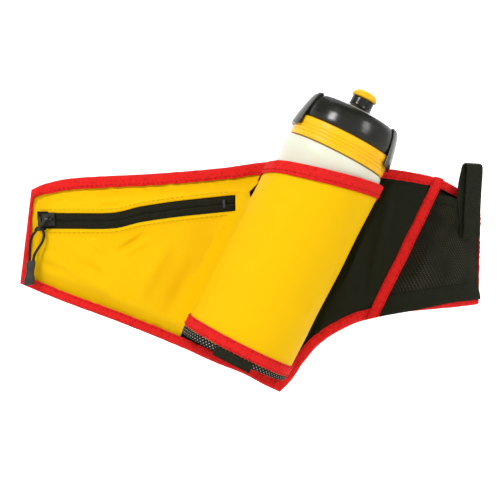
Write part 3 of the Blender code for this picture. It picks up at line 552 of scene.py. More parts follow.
def make_materials():
    shades = [
        woven("yellow_ripstop", YELLOW, 0.55 * MM, 0.55),
        ribbed("red_tape", RED, 0.9 * MM, 0.7),
        ribbed("red_thread", (0.55, 0.012, 0.012), 0.4 * MM, 0.6),
        ribbed("yellow_thread", darker(YELLOW, 0.85), 0.4 * MM, 0.6),
        woven("black_stretch", BLACK, 0.5 * MM, 0.62),
        netting("black_mesh", (0.014, 0.014, 0.009), (0.12, 0.11, 0.045), 2.3 * MM, 0.8),
        netting("dotted_mesh", (0.014, 0.014, 0.012), (0.55, 0.55, 0.45), 2.6 * MM, 1.0, True),
        netting("spacer_mesh", (0.03, 0.03, 0.03), (0.004, 0.004, 0.004), 2.8 * MM, 1.0),
        ribbed("black_webbing", (0.017, 0.019, 0.011), 1.1 * MM, 0.7, across=True),
        ribbed("zip_tape", (0.013, 0.013, 0.006), 0.7 * MM, 0.45, depth=0.05 * MM),
        netting("cord", (0.02, 0.02, 0.018), (0.6, 0.6, 0.5), 1.7 * MM, 1.0, True),
        moulded("zip_coil", (0.02, 0.02, 0.02), 0.35),
        moulded("dark_metal", (0.035, 0.035, 0.03), 0.4, Metallic=0.7),
        moulded("grip_rubber", (0.010, 0.011, 0.008), 0.45, 0.06 * MM),
        moulded("bottle_white", (0.70, 0.70, 0.56), 0.38, Subsurface_Weight=0.25, Subsurface_Scale=4 * MM),
        moulded("cap_yellow", (0.90, 0.47, 0.0), 0.34, Specular_IOR_Level=0.3),
        moulded("cap_black", (0.008, 0.009, 0.005), 0.2, 0.008 * MM, Specular_IOR_Level=0.35),
        moulded("seal_grey", (0.5, 0.5, 0.48), 0.6),
        moulded("buckle_black", (0.02, 0.02, 0.02), 0.42, 0.06 * MM),
    ]
    return {made.name: made.material for made in shades}


LOOKS = make_materials()


# ---------------------------------------------------------------- the edge binding

def outline_edges():
    """The outline as five runs between its corners, anticlockwise seen from outside, in flat (s, z)."""
    low_left, low_right = BOTTOM_CURVE[0], BOTTOM_CURVE[-1]
    high_left, high_right = TOP_CURVE[0], TOP_CURVE[-1]
    bottom_left = [mix(low_left[0], TIP_S, t) for t in even(200)]
    bottom_right = [mix(TIP_S, low_right[0], t ** 1.1) for t in even(150)]
    top = [mix(high_right[0], high_left[0], t) for t in even(300)]
    return [
        [(s, through(BOTTOM_LEFT, s)) for s in bottom_left],
        [(s, through(BOTTOM_RIGHT, s)) for s in bottom_right],
        [(mix(low_right[0], high_right[0], t), mix(low_right[1], high_right[1], t)) for t in even(60)],
        [(s, through(TOP_CURVE, s)) for s in top],
        [(mix(high_left[0], low_left[0], t), mix(high_left[1], low_left[1], t)) for t in even(56)],
    ]


def binding_reach(run, share):
    """The tape's width over the front as a share of its full width, along one of the outline's runs."""
    if run == 2:
        return mix(0.55, 0.4, share)
    if run == 3:
        return mix(1.0, 1.16, smooth((share - 0.25) / 0.1)) * mix(1.0, 0.8, smooth((share - 0.95) / 0.05))
    if run == 4:
        return mix(mix(0.93, 0.5, smooth(share / 0.12)), 0.85, smooth((share - 0.12) / 0.88))
    return 1.0


def binding_stations():
    """Points along the outline, each with the direction and reach of the tape's width from there."""
    runs = [[Vector(p) for p in run] for run in outline_edges()]
    stations = []
    for k, run in enumerate(runs):
        ends = []
        before, after = runs[k - 1], runs[(k + 1) % len(runs)]
        corners = (run[1] - run[0], before[-1] - before[-2]), (run[-1] - run[-2], after[1] - after[0])
        for here, other in corners:
            mitre = (here.normalized() + other.normalized()).normalized()
            inward = Vector((-mitre.y, mitre.x))
            normal = Vector((-here.y, here.x)).normalized()
            ends.append(inward / max(inward.dot(normal), 0.5))
        lengths = [0.0]
        for p, q in zip(run, run[1:]):
            lengths.append(lengths[-1] + (q - p).length)
        for i, point in enumerate(run[:-1]):
            ahead = run[i + 1] - run[max(i - 1, 0)]
            normal = Vector((-ahead.y, ahead.x)).normalized()
            direction = normal
            for corner, distance in ((ends[0], lengths[i]), (ends[1], lengths[-1] - lengths[i])):
                spread = BINDING_WIDTH * 1.3 * max(math.sqrt(max(corner.length_squared - 1, 0)), 0.3)
                direction = direction.lerp(corner, 1 - smooth(distance / spread))
            share = lengths[i] / lengths[-1]
            width = binding_reach(k, share) * BINDING_WIDTH
            stations.append((point, direction, width))
    return stations


def binding_section(t, width):
    """(distance in from the edge, height) round the folded tape, from its front hem to its back hem."""
    roll = (BINDING_FRONT - BINDING_BACK) / 2
    turned = 0.55 * roll
    if t < 0.36:
        return mix(width, turned, t / 0.36), BINDING_FRONT
    if t > 0.64:
        return mix(turned, BINDING_WIDTH, (t - 0.64) / 0.36), BINDING_BACK
    turn = math.pi * (t - 0.36) / 0.28
    return turned * (1 - math.sin(turn)), (BINDING_FRONT + BINDING_BACK) / 2 + roll * math.cos(turn)


def binding_pucker(along, inward):
    """How far the tape's face stands out where its stitches gather it."""
    gather = ripple(along, inward * 0.6, 4.4 * MM, 3.0) * 0.9 + ripple(along, inward, 10 * MM, 8.0) * 0.6
    return gather * MM * (0.35 + 0.65 * min(inward / (3 * MM), 1.0))


def edge_binding():
    stations = binding_stations()
    rows = 22
    points = []
    along = 0.0
    front_line, back_line = [], []
    for i, (point, direction, width) in enumerate(stations):
        along += (point - stations[i - 1][0]).length
        column = []
        for j in range(rows + 1):
            inward, d = binding_section(j / rows, width)
            lift = binding_pucker(along, inward)
            flat = point + direction * (inward + 0.5 * lift)
            column.append(wrap(flat.x, flat.y, d + lift if j <= rows / 2 else d - 0.6 * lift))
        points.append(column)
        for line, distance, sign in ((front_line, width * 0.8, 1), (back_line, BINDING_WIDTH * 0.8, -1)):
            lift = binding_pucker(along, distance)
            flat = point + direction * (distance + 0.5 * lift)
            level = BINDING_FRONT + lift if sign > 0 else BINDING_BACK - 0.6 * lift
            line.append((wrap(flat.x, flat.y, level), outward(flat.x, flat.y) * sign))
    obj = place_mesh("binding_tape", grid_mesh(points, closed_u=True), "red_tape", "pack", ["edge_binding"])
    thicken(obj, CLOTH, 1.0)
    stitches("binding_stitches", [front_line, back_line], "red_thread")


# ---------------------------------------------------------------- left wing

def sleeve_line(offset, z):
    """Flat s of the holster's long edge at height z."""
    return BOTTLE_BASE.x + offset / math.cos(TILT) + (z - BOTTLE_BASE.z) * math.tan(TILT)


def wing_seam(z):
    """Flat s where the pocket's cloth meets the holster, which it leaves behind above the holster's lip."""
    drift = SEAM_DRIFT * max(0.0, z - SEAM_LIP) / (SEAM_TOP - SEAM_LIP)
    return sleeve_line(HOLSTER_SIDE + drift, z)


def zip_share(s):
    return (s - ZIP_LEFT[0]) / (ZIP_RIGHT[0] - ZIP_LEFT[0])


ZIP_DIP = [(0, 0), (0.2, -2.4), (0.41, -4.4), (0.56, -1.8), (0.78, -0.4), (1, 0)]


def zip_dip(share):
    """The closed zip sags between its ends, as a tape with nothing behind it does."""
    return through(ZIP_DIP, min(max(share, 0.0), 1.0)) * MM


def zip_z(s):
    return mix(ZIP_LEFT[1], ZIP_RIGHT[1], zip_share(s)) + zip_dip(zip_share(s))


def plateau(s):
    return mix(POCKET_DEPTH_LEFT, POCKET_DEPTH_RIGHT, zip_share(s))


def wing_folds(s, z):
    """The pocket cloth's folds: long pulls, short sharp creases, and puckers along the binding."""
    folds = [((-143, 92), (-114, 79), 3.2, 1.7), ((-122, 82), (-94, 66), 3.4, 1.5),
             ((-118, 88), (-92, 74), 2.6, -1.1), ((-90, 93), (-69, 106), 1.6, -1.5),
             ((-86, 90), (-66, 102), 2.4, 0.9), ((-107, 101), (-96, 91), 1.8, 0.9),
             ((-76, 60), (-52, 100), 5.0, 1.2), ((-58, 46), (-34, 88), 5.0, -1.3),
             ((-44, 40), (-20, 92), 4.5, 1.4), ((-38, 32), (-30, 52), 3.0, -1.2),
             ((-56, 127), (-38, 137), 2.2, 1.2), ((-30, 134), (-16, 145), 1.8, 1.0),
             ((-104, 126), (-78, 133), 3.0, 1.0), ((-128, 132), (-104, 128), 3.0, -0.7)]
    total = creases(s, z, folds)
    low, high = z - bottom_z(s), top_z(s) - z
    for distance, seed in ((low, 1.0), (high, 2.0)):
        gather = ripple(s, 0.25 * distance, 6.5 * MM, seed)
        total += gather * 1.3 * MM * math.exp(-max(distance - BINDING_WIDTH, 0) / (7 * MM))
    return total + ripple(s, z, 22 * MM, 5.0) * 1.2 * MM


def wing_grid():
    """Flat (s, z) columns of the pocket's cloth; the rows between SLOT_ROWS bound the zip's slot."""
    left_count, slot_count, right_count = 8, 130, 40
    half = ZIP_HALF - 0.5 * MM
    low_rim, top_rim = BOTTOM_CURVE[0][0] + EDGE_INSET, TOP_CURVE[0][0] + EDGE_INSET
    low_end, mid_end, top_end = [wing_seam(z) for z in (SEAM_FOOT, SEAM_LIP, SEAM_TOP)]
    mids = [mix(mix(low_rim, top_rim, 0.7), ZIP_LEFT[0], t) for t in even(left_count)[:-1]]
    tail = mix(ZIP_LEFT[0], ZIP_RIGHT[0], ZIP_TAIL)
    mids += [mix(ZIP_LEFT[0], tail, t) for t in even(slot_count)]
    mids += [mix(tail, mid_end, t) for t in even(right_count)[1:]]
    columns = []
    for i, s_mid in enumerate(mids):
        share = i / (len(mids) - 1)
        s_low, s_top = mix(low_rim, low_end, share), mix(top_rim, top_end, share)
        z_low, z_top = bottom_z(s_low, EDGE_INSET), top_z(s_top, EDGE_INSET)
        past = max(0.0, s_mid - tail) / (mid_end - tail)
        z_mid = mix(zip_z(min(s_mid, tail)), SEAM_LIP, past)
        low, high = SLOT_ROWS
        column = [(mix(s_low, s_mid, j / low), mix(z_low, z_mid - half, j / low)) for j in range(low)]
        column += [(s_mid, mix(z_mid - half, z_mid + half, j / (high - low))) for j in range(high - low)]
        rest = WING_ROWS - high
        column += [(mix(s_mid, s_top, j / rest), mix(z_mid + half, z_top, j / rest)) for j in range(rest + 1)]
        columns.append(column)
    return columns, range(left_count, left_count + slot_count)


def wing_depth(s, z):
    """Height of the pocket's outer face above the carrier: a shallow tray."""
    rim = mix(BOTTOM_CURVE[0][0], TOP_CURVE[0][0], (z - 71 * MM) / (65 * MM))
    rise = 1.0
    for distance in (z - bottom_z(s), top_z(s) - z, s - rim):
        rise *= ramp(distance, 7.5, 11)
    level = mix(0.7 * MM, plateau(s) + 1.0 * MM, rise)
    off_zip = abs(z - zip_z(s))
    ends = ramp(s - ZIP_LEFT[0], -12, 8) * ramp(ZIP_RIGHT[0] - s, -10, 10)
    calm = 1 - (1 - ramp(off_zip, 6.5, 7)) * ends
    hem = 0.8 * MM * math.exp(-((off_zip - 7.2 * MM) / (1.6 * MM)) ** 2) * ends * rise
    return level + hem + 1.5 * wing_folds(s, z) * mix(0.15, 1.0, calm) * rise


def wing_point(s, z):
    """A point of the pocket's cloth, which sweeps up against the holster's left side as it nears it."""
    point = wrap(s, z, wing_depth(s, z))
    seam = wing_seam(z)
    share = 1 - (seam - s) / SWEEP_REACH
    if share <= 0:
        return point
    edge = wrap(seam, z, wing_depth(seam, z))
    height = (z - BOTTLE_BASE.z + HOLSTER_SIDE * math.sin(TILT)) / math.cos(TILT)
    target = upright(HOLSTER_SIDE, 3 * MM, height)
    fade = ramp(z - bottom_z(s), 9, 12) * ramp(top_z(s) - z, 5, 9)
    return point + (target - edge) * share ** 2.2 * fade


def left_wing():
    flat, slot_columns = wing_grid()
    points = [[wing_point(s, z) for s, z in column] for column in flat]

    def hole(i, j):
        return i in slot_columns and SLOT_ROWS[0] <= j < SLOT_ROWS[1]

    obj = place_mesh("wing_cloth", grid_mesh(points, hole=hole), "yellow_ripstop", "pack", ["pocket_front"])
    declare_panel([[Vector((s, z, 0)) for s, z in column] for column in flat])
    thicken(obj, CLOTH)
    lines = []
    for sign in (1, -1):
        line = []
        for t in even(90):
            s = mix(ZIP_LEFT[0] - 1 * MM, ZIP_RIGHT[0] + 1 * MM, t)
            z = zip_z(s) + sign * ZIP_STITCH
            line.append((wing_point(s, z), outward(s, z)))
        lines.append(line)
    stitches("zip_stitches", lines, "yellow_thread")


def zip_frame():
    start = wrap(*ZIP_LEFT, POCKET_DEPTH_LEFT)
    end = wrap(*ZIP_RIGHT, POCKET_DEPTH_RIGHT)
    along = (end - start).normalized()
    out = outward(*ZIP_LEFT)
    out = (out - along * out.dot(along)).normalized()
    return start, along, out.cross(along), out, (end - start).length


def zip_place(u, v, h):
    start, along, across, out, _ = zip_frame()
    return start + along * u + across * v + out * h


def zip_tapes():
    """Reverse-coil zip: the tapes meet edge to edge in front and the coils lie behind them."""
    length = zip_frame()[4]
    for name, sign in (("upper", 1), ("lower", -1)):
        def height(a, v):
            roll = 0.3 * MM * math.exp(-((v - 2.2 * MM) / (1.5 * MM)) ** 2)
            seam = 0.25 * MM * smooth(1 - v / (0.5 * MM))
            return 0.75 * MM + roll - seam + ripple(a, v, 0.1, 9.0) * 0.5 * MM

        def surface(a, b, sign=sign):
            v = mix(0.04 * MM, ZIP_HALF + 0.6 * MM, b if sign > 0 else 1 - b)
            a = mix(-0.004, ZIP_TAIL, a)
            return zip_place(a * length, sign * v + zip_dip(a), height(a, v))

        cloth(f"zip_tape_{name}_cloth", surface, 130, 16, "zip_tape", [f"zip_tape_{name}"], 0.5 * MM)
        bm = bmesh.new()
        places = even(2 * COIL_TURNS)
        path = [zip_place(a * length, sign * COIL_OFFSET + zip_dip(a), -0.6 * MM) for a in places]
        tube(bm, path, [(0.55 + 0.25 * (i % 2)) * MM for i in range(len(path))], 8)
        place_mesh(f"coil_{name}", bm, "zip_coil", "pack", [f"zip_coil_{name}"])


def pull_place(u, v, h):
    """A point in the puller's own frame, whose origin is on the slider's bar; u, v, h are in mm."""
    return zip_place(SLIDER_OFFSET + u * MM, v * MM, BAR_HEIGHT + h * MM)


def grip():
    """The puller's moulded grip: rings of (half width, share of its length) from its top to its foot."""
    sections = []
    for half, share in ((1.8, 0.0), (2.5, 0.02), (3.0, 0.1), (3.0, 0.3), (2.7, 0.36), (2.7, 0.6), (3.4, 0.68),
                        (3.7, 0.9), (3.5, 0.97), (2.6, 1.0)):
        u, v = mix(GRIP_TOP[0], GRIP_FOOT[0], share), mix(GRIP_TOP[1], GRIP_FOOT[1], share)
        ring = []
        for k in range(24):
            c, s = math.cos(math.tau * k / 24), math.sin(math.tau * k / 24)
            across = half * abs(c) ** 0.6 * math.copysign(1, c)
            ring.append(pull_place(u + across, v, 0.58 * half * abs(s) ** 0.6 * math.copysign(1, s)))
        sections.append(ring)
    bm = grid_mesh([[ring[k] for ring in sections] for k in range(24)], closed_u=True)
    bmesh.ops.holes_fill(bm, edges=[e for e in bm.edges if e.is_boundary], sides=0)
    bmesh.ops.recalc_face_normals(bm, faces=bm.faces)
    return place_mesh("pull_handle", bm, "grip_rubber", "zip_pull", ["pull_grip"], angle=35)


def zip_pull():
    """The puller: a flecked cord looped through the slider's link, and a moulded grip."""
    bend, crown, middle = 2.7, -7.3, -6.08
    route = [(-14.6, -26.5), (-14.1, -22.5), (-13.6, -18), (-12.8, -13.5), (-11.2, -10)]
    route += [(middle - bend * math.cos(math.pi * t), crown + bend * math.sin(math.pi * t)) for t in even(6)]
    route += [(-2.9, -10.4), (-4.4, -14.5), (-7.6, -18.5), (-10.6, -22.5), (-12.0, -26.5)]
    points = smooth_route([pull_place(u, v, 0) for u, v in route])
    curve = bpy.data.curves.new("pull_cord_loop", "CURVE")
    curve.dimensions = "3D"
    curve.bevel_depth = CORD_DIAMETER / 2
    curve.bevel_resolution = 4
    curve.use_fill_caps = True
    spline = curve.splines.new("POLY")
    spline.points.add(len(points) - 1)
    for item, point in zip(spline.points, points):
        item.co = (*point, 1)
    curve.materials.append(LOOKS["cord"])
    cord = link("pull_cord_loop", curve)
    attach(cord, "zip_pull")
    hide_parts("pull_cord")
    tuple(points[0])
    path_length(points)
    grip()


# ---------------------------------------------------------------- right wing

def strip_line(z, offset):
    share = (z - STRIP_LOW[1]) / (STRIP_HIGH[1] - STRIP_LOW[1])
    return mix(STRIP_LOW[0], STRIP_HIGH[0], share) + offset


def strip_ends(offset, inset):
    """Flat ends of the strip's line, moved right by offset, where it meets the outline less the inset."""
    s_low, s_top = strip_line(STRIP_LOW[1], offset), strip_line(STRIP_HIGH[1], offset)
    for _ in range(4):
        s_low = strip_line(bottom_z(s_low, inset), offset)
        s_top = strip_line(top_z(s_top, inset), offset)
    return (s_low, bottom_z(s_low, inset)), (s_top, top_z(s_top, inset))


def side_panel():
    low_end, top_end = strip_ends(STRIP_HALF, EDGE_INSET)
    pulls = [((62, 60), (80, 140), 3.5, 1.8), ((50, 50), (72, 120), 3, -1.0), ((78, 70), (95, 142), 3.2, 1.5),
             ((72, 52), (84, 108), 3, -1.1)]

    def surface(a, b):
        s_low = mix(sleeve_line(SLEEVE_SEAM, 27 * MM), low_end[0], a)
        s_top = mix(sleeve_line(SLEEVE_SEAM, 148 * MM), top_end[0], a)
        s = mix(s_low, s_top, b)
        z = mix(bottom_z(s_low, EDGE_INSET), top_z(s_top, EDGE_INSET), b)
        free = smooth(a * 7) * smooth((1 - a) * 7)
        folds = creases(s, z, pulls) + ripple(s, z * 0.3, 7 * MM, 4.0) * 0.5 * MM
        edge = ramp(top_z(s) - z, 6, 6) * ramp(z - bottom_z(s), 6, 6)
        return wrap(s, z, 1.5 * MM + (1.4 * MM + folds) * free * edge)

    cloth("side_panel_cloth", surface, 90, 90, "black_stretch", ["side_panel"], panel_on=["base_panel"])


def trim_strip():
    def depth(a, z):
        crown = 0.5 * MM * math.sin(math.pi * a)
        return BINDING_FRONT + 1.1 * MM + crown + ripple(z, a * 3 * MM, 5 * MM, 6.0) * 0.35 * MM

    def place(a, b):
        offset = mix(-STRIP_HALF, STRIP_HALF, a)
        low_end, top_end = strip_ends(offset, 0.3 * MM)
        z = mix(low_end[1], top_end[1], b)
        return strip_line(z, offset + ripple(z, 0, 16 * MM, 2.0) * 0.5 * MM), z, depth(a, z)

    cloth("trim_tape", lambda a, b: wrap(*place(b, 1 - a)), 110, 10, "red_tape", ["trim_strip"])
    lines = []
    for a in (0.13, 0.87):
        places = [place(a, b) for b in even(100)]
        lines.append([(wrap(s, z, d), outward(s, z)) for s, z, d in places])
    stitches("trim_stitches", lines, "red_thread")


def mesh_place(a, b):
    """Flat (s, z, d) on the mesh pocket's outer face; b runs from its foot to its mouth."""
    low_start = strip_ends(STRIP_HALF, EDGE_INSET)[0][0]
    low_end = BOTTOM_CURVE[-1][0] - 3.4 * MM
    top_start, top_end = strip_line(MESH_TOP[0][1], STRIP_HALF), MESH_TOP[1][0] + 1.2 * MM
    lap = smooth((a - 0.15) / 0.6)
    s_low, s_top = mix(low_start, low_end, a), mix(top_start, top_end, a)
    share = (s_top - MESH_TOP[0][0]) / (MESH_TOP[1][0] - MESH_TOP[0][0])
    z_low, z_top = bottom_z(s_low, mix(0.3 * MM, 4.2 * MM, lap)), mix(MESH_TOP[0][1], MESH_TOP[1][1], share)
    s, z = mix(s_low, s_top, b), mix(z_low, z_top, b)
    profile = smooth(a / 0.2) * (1 - smooth((a - 0.3) / 0.68)) ** 0.6
    fill = smooth((b - 0.08) / 0.3) * mix(1.0, 0.8, b)
    d = mix(4.2, 2.2, smooth(b / 0.16)) * MM + 0.8 * MESH_DEPTH * profile * fill
    folds = creases(s, z, [((104, 68), (128, 118), 3, 1.2), ((120, 62), (134, 104), 3, -1.2),
                           ((110, 84), (152, 76), 3, 1.1), ((112, 72), (156, 66), 2.5, -0.9)])
    return s, z, d + (folds + ripple(s, z, 9 * MM, 9.0) * 0.7 * MM) * profile


def mesh_pocket():
    cloth("mesh_pocket_cloth", lambda a, b: wrap(*mesh_place(a, b)), 80, 80, "black_mesh", ["mesh_pocket"],
          panel_on=["base_panel"])

    def hem(a, b):
        s, z, d = mesh_place(a * 0.96, 1.0)
        crown = 0.5 * MM * math.sin(math.pi * b)
        return wrap(s + 3.0 * MM * b * (1 - a), z + 0.1 * MM + 5.6 * MM * b, d + crown)

    cloth("mesh_hem_band", hem, 80, 8, "black_stretch", ["mesh_pocket_hem"], 0.9 * MM)

    def lower_band(a, b):
        s, z, d = mesh_place(a, mix(0.0, 0.2, b))
        return wrap(s, z, d + 0.35 * MM + 0.3 * MM * math.sin(math.pi * b))

    cloth("mesh_lower_band", lower_band, 80, 10, "black_stretch", [])


# ---------------------------------------------------------------- holster

def sleeve_path(t, rear):
    """(x, y, turn, leg) round the holster for t from 0 at its left leg's rear to 1 at its right leg's."""
    arc = math.pi * SLEEVE_RADIUS
    total = arc + 2 * rear
    travelled = t * total - rear
    if travelled < 0:
        return -1.0, -travelled, -90.0, -travelled
    if travelled > arc:
        return 1.0, travelled - arc, 90.0, travelled - arc
    turn = -90 + 180 * travelled / arc
    return math.sin(math.radians(turn)), -SLEEVE_RADIUS * math.cos(math.radians(turn)), turn, 0.0


def sleeve_top(turn, leg):
    height = SLEEVE_TOP + SLEEVE_TOP_SLANT * math.sin(math.radians(turn)) - 2.0 * MM * smooth(-turn / 45 - 1)
    return height - (0.26 * leg if turn <= -90 else 0.1 * leg)


def sleeve_place(t, height, lift, rear=TAPE_LEG):
    x, y, turn, leg = sleeve_path(t, rear)
    radius = SLEEVE_RADIUS + lift
    if leg == 0:
        y = -radius * math.cos(math.radians(turn))
    return upright(x * radius, y, height)


def sleeve_crumple(t, height):
    """Soft creases in the holster's face, which the bottle fills and keeps nearly smooth."""
    around = (t - 0.5) * 180 * MM
    folds = [((30, 118), (48, 60), 4, -0.9), ((-30, 20), (-6, 60), 5, 0.7), ((20, 30), (44, 58), 4, 0.8),
             ((-44, 90), (-20, 118), 5, 0.6), ((6, 112), (30, 96), 4, -0.6)]
    return creases(around, height, folds) + ripple(around, height, 30 * MM, 7.0) * 0.5 * MM


def holster_sleeve():
    def sleeve(a, b):
        _, _, turn, leg = sleeve_path(a, SLEEVE_LEG)
        low = 24 * MM * ramp(leg, 12, 20) if turn >= 90 else 0.0
        height = mix(low, sleeve_top(turn, leg), b)
        return sleeve_place(a, height, sleeve_crumple(a, height), SLEEVE_LEG)

    cloth("holster_cloth", sleeve, 150, 70, "yellow_ripstop", ["holster_sleeve"], 0.8 * MM,
          panel_on=["base_panel"])


def foot_band(low, high, lift, seed, slant=0.0):
    """The surface of a band round the holster's foot, whose lower edge rises to the right by slant."""
    def surface(a, b):
        turn = sleeve_path(a, TAPE_LEG)[2]
        gather = ripple(a * TAPE_RUN, b * 2 * MM, 5 * MM, seed) * 0.3 * MM
        bulge = lift + 0.35 * MM * math.sin(math.pi * b) + gather
        return sleeve_place(a, mix(low + slant * turn / 90, high, b), bulge)
    return surface


def holster_tapes():
    """The tapes round the holster's mouth and foot, the dotted skirt below them and the tab in front."""
    def mouth_section(a, b):
        """The mouth's tape goes up the outside, over the lip and down the inside."""
        _, _, turn, leg = sleeve_path(a, TAPE_LEG)
        top = sleeve_top(turn, leg) + 0.4 * MM
        low = top - 8.2 * MM
        outside = 1.0 * MM + ripple(a * TAPE_RUN, b * 3 * MM, 5 * MM, 12.0) * 0.4 * MM
        inside = -1.5 * MM
        if b < 0.42:
            return sleeve_place(a, mix(low, top, b / 0.42), outside)
        if b > 0.58:
            return sleeve_place(a, mix(top, low, (b - 0.58) / 0.42), inside)
        over = (b - 0.42) / 0.16
        return sleeve_place(a, top + 0.8 * MM * math.sin(math.pi * over), mix(outside, inside, over))

    cloth("mouth_tape", mouth_section, 150, 24, "red_tape", ["holster_mouth_binding"], 0.4 * MM)
    hem = foot_band(0.2 * MM, 7.6 * MM, 0.9 * MM, 14.0)
    cloth("hem_tape", hem, 150, 12, "red_tape", ["holster_hem"], 0.5 * MM)
    skirt = foot_band(-4.0 * MM, 0.3 * MM, -0.1 * MM, 16.0, 1.3 * MM)
    cloth("skirt_mesh", skirt, 150, 10, "dotted_mesh", ["holster_skirt"], CLOTH)

    def tab(a, b):
        crown = 0.3 * MM * math.sin(math.pi * b)
        return sleeve_place(mix(0.425, 0.575, a), mix(-6.5 * MM, -0.2 * MM, b), 1.2 * MM + crown)

    cloth("tab_webbing", tab, 40, 10, "black_webbing", ["holster_tab"], 1.0 * MM)


def holster_stitches():
    """Stitches along the mouth's tape and near both edges of the foot's."""
    def seam_line(height_of):
        line = []
        for t in even(120):
            height = height_of(*sleeve_path(t, TAPE_LEG)[2:])
            point = sleeve_place(t, height, 1.1 * MM)
            line.append((point, (sleeve_place(t, height, 2.1 * MM) - point).normalized()))
        return line

    lines = [seam_line(lambda turn, leg: sleeve_top(turn, leg) - 5.3 * MM),
             seam_line(lambda turn, leg: 6.4 * MM), seam_line(lambda turn, leg: 1.4 * MM)]
    stitches("holster_stitches", lines, "red_thread")


def holster_floor():
    rim = [sleeve_path(t, TAPE_LEG)[:2] for t in even(80)]
    radius, centre = SLEEVE_RADIUS - 1.4 * MM, 4 * MM

    def floor(a, b):
        x, y = rim[round(a * 80)]
        inside = mix(0.02, 1.0, b)
        return upright(x * radius * inside, centre + (y * 0.96 - centre) * inside, -0.6 * MM)

    cloth("floor_mesh", floor, 80, 8, "black_mesh", ["holster_floor"], 0.8 * MM)


# ---------------------------------------------------------------- bottle and cap

def lathe(name, profile, look, body, replaced, segments=144, wobble=None):
    """Turn a closed profile of (radius, height) in millimetres about the bottle's axis."""
    columns = []
    for k in range(segments):
        turn = math.tau * k / segments
        column = []
        for r, h in [*profile, profile[0]]:
            radius = (r + (wobble(turn, h) if wobble else 0.0)) * MM
            column.append(upright(radius * math.sin(turn), -radius * math.cos(turn), h * MM))
        columns.append(column)
    bm = grid_mesh(columns, closed_u=True)
    bmesh.ops.remove_doubles(bm, verts=bm.verts, dist=1e-7)
    bmesh.ops.recalc_face_normals(bm, faces=bm.faces)
    place_mesh(name, bm, look, body, replaced, angle=40)


def rounded(points, radius, steps):
    """Round the corners of a closed (r, h) profile that is given in millimetres."""
    made = []
    count = len(points)
    for i, point in enumerate(points):
        here = Vector(point)
        before, after = Vector(points[i - 1]) - here, Vector(points[(i + 1) % count]) - here
        cut = min(radius, before.length * 0.4, after.length * 0.4)
        start, end = here + before.normalized() * cut, here + after.normalized() * cut
        for t in even(steps):
            made.append(tuple(start.lerp(here, t).lerp(here.lerp(end, t), t)))
    return made


def bottle():
    """Blown bottle with a shallow finger groove under its shoulder and a faint mould seam."""
    outer = [(0.3, 0.9), (20, 0.9), (27, 0), (30, 0.2), (32.6, 1.6), (33.5, 5), (33.5, 30), (33.3, 60),
             (33.5, 100), (33.4, 110), (32.8, 115), (32.2, 120), (32.1, 124), (32.6, 129), (33.3, 133),
             (33.3, 136), (32.6, 139.4), (28, 139.7), (28, 160)]
    inner = [(26.5, 160), (26.5, 137.5), (30, 132), (30.5, 120), (32, 110), (32, 6), (29, 2.6), (0.3, 2.4)]

    def seam(turn, h):
        return 0.12 * math.exp(-((math.sin(turn)) / 0.02) ** 2) if 6 < h < 138 else 0.0

    lathe("bottle_shell", rounded(outer + inner, 3.0, 5), "bottle_white", "bottle",
          ["bottle_base", "bottle_wall", "bottle_shoulder"], 180, seam)


def cap():
    """Grooved yellow collar, black dome, and the drinking valve in the dome's neck."""
    low = 140.1
    ring = [(28.6, low), (32.2, low), (32.6, low + 0.6)]
    for start in (3.2, 5.4, 7.6):
        ring += [(32.6, low + start), (32.2, low + start + 0.25), (32.2, low + start + 0.5),
                 (32.6, low + start + 0.75)]
    ring += [(32.5, 152.2), (31.9, 153.0), (28.6, 153.0)]
    lathe("cap_collar", rounded(ring, 0.3, 3), "cap_yellow", "cap", ["cap_ring"])
    dome_out = [(32.2, 153.3), (32.0, 157), (31.3, 161), (30.2, 165), (29.0, 167.6), (27.0, 169.6),
                (23, 170.8), (18, 171.5), (12, 172.1), (9.2, 172.6), (7.9, 173.5), (7.4, 175), (7.4, 179.5)]
    dome_in = [(6.0, 179.5), (6.0, 169.5), (25.5, 167.2), (27.2, 165), (28.6, 160.4), (28.8, 153.3)]
    lathe("cap_lid", rounded(dome_out + dome_in, 1.0, 4), "cap_black", "cap", ["cap_dome"])
    tip = [(3.7, 167), (5.5, 167), (5.5, 179.9), (8.2, 179.9), (8.6, 180.8), (8.4, 181.8), (7.4, 183.4),
           (6.2, 184.4), (4.8, 184.8), (3.7, 184.4)]
    lathe("valve_cup", rounded(tip, 0.4, 4), "cap_yellow", "valve", ["valve_tip"], 72)
    plug = [(0.02, 163), (1.8, 163), (1.8, 182), (1.2, 183.4), (0.02, 183.6)]
    lathe("valve_pin", rounded(plug, 0.4, 3), "cap_yellow", "cap", ["valve_plug"], 32)


def cap_wings():
    """The two black finger grips, which follow the dome's side down over the collar."""
    rings = [(34.8, 145.6), (34.8, 148), (34.4, 151), (33.9, 154), (33.2, 157), (32.3, 161), (31.2, 165),
             (30.2, 168), (28.9, 170.2), (27.2, 171.2)]
    for name, centre in (("left", -90), ("right", 90)):
        def wing(a, b, centre=centre):
            across, top = mix(-1, 1, a), len(rings) - 1
            k = min(int(b * top), top - 1)
            radius, height = (mix(rings[k][n], rings[k + 1][n], b * top - k) for n in (0, 1))
            half = 31 * (1 - 0.10 * b)
            corner = 1 - abs(across) ** 6
            turn = math.radians(centre + across * half)
            height = mix(height + 1.6 * (1 - corner) * (1 - 2 * b), height, 0.2)
            return upright(radius * MM * math.sin(turn), -radius * MM * math.cos(turn), height * MM)

        obj = cloth(f"grip_wing_{name}", wing, 40, 36, "cap_black", [f"cap_grip_{name}"], 1.4 * MM, "cap")
        round_edges(obj, 0.4 * MM)


# ---------------------------------------------------------------- back and belt

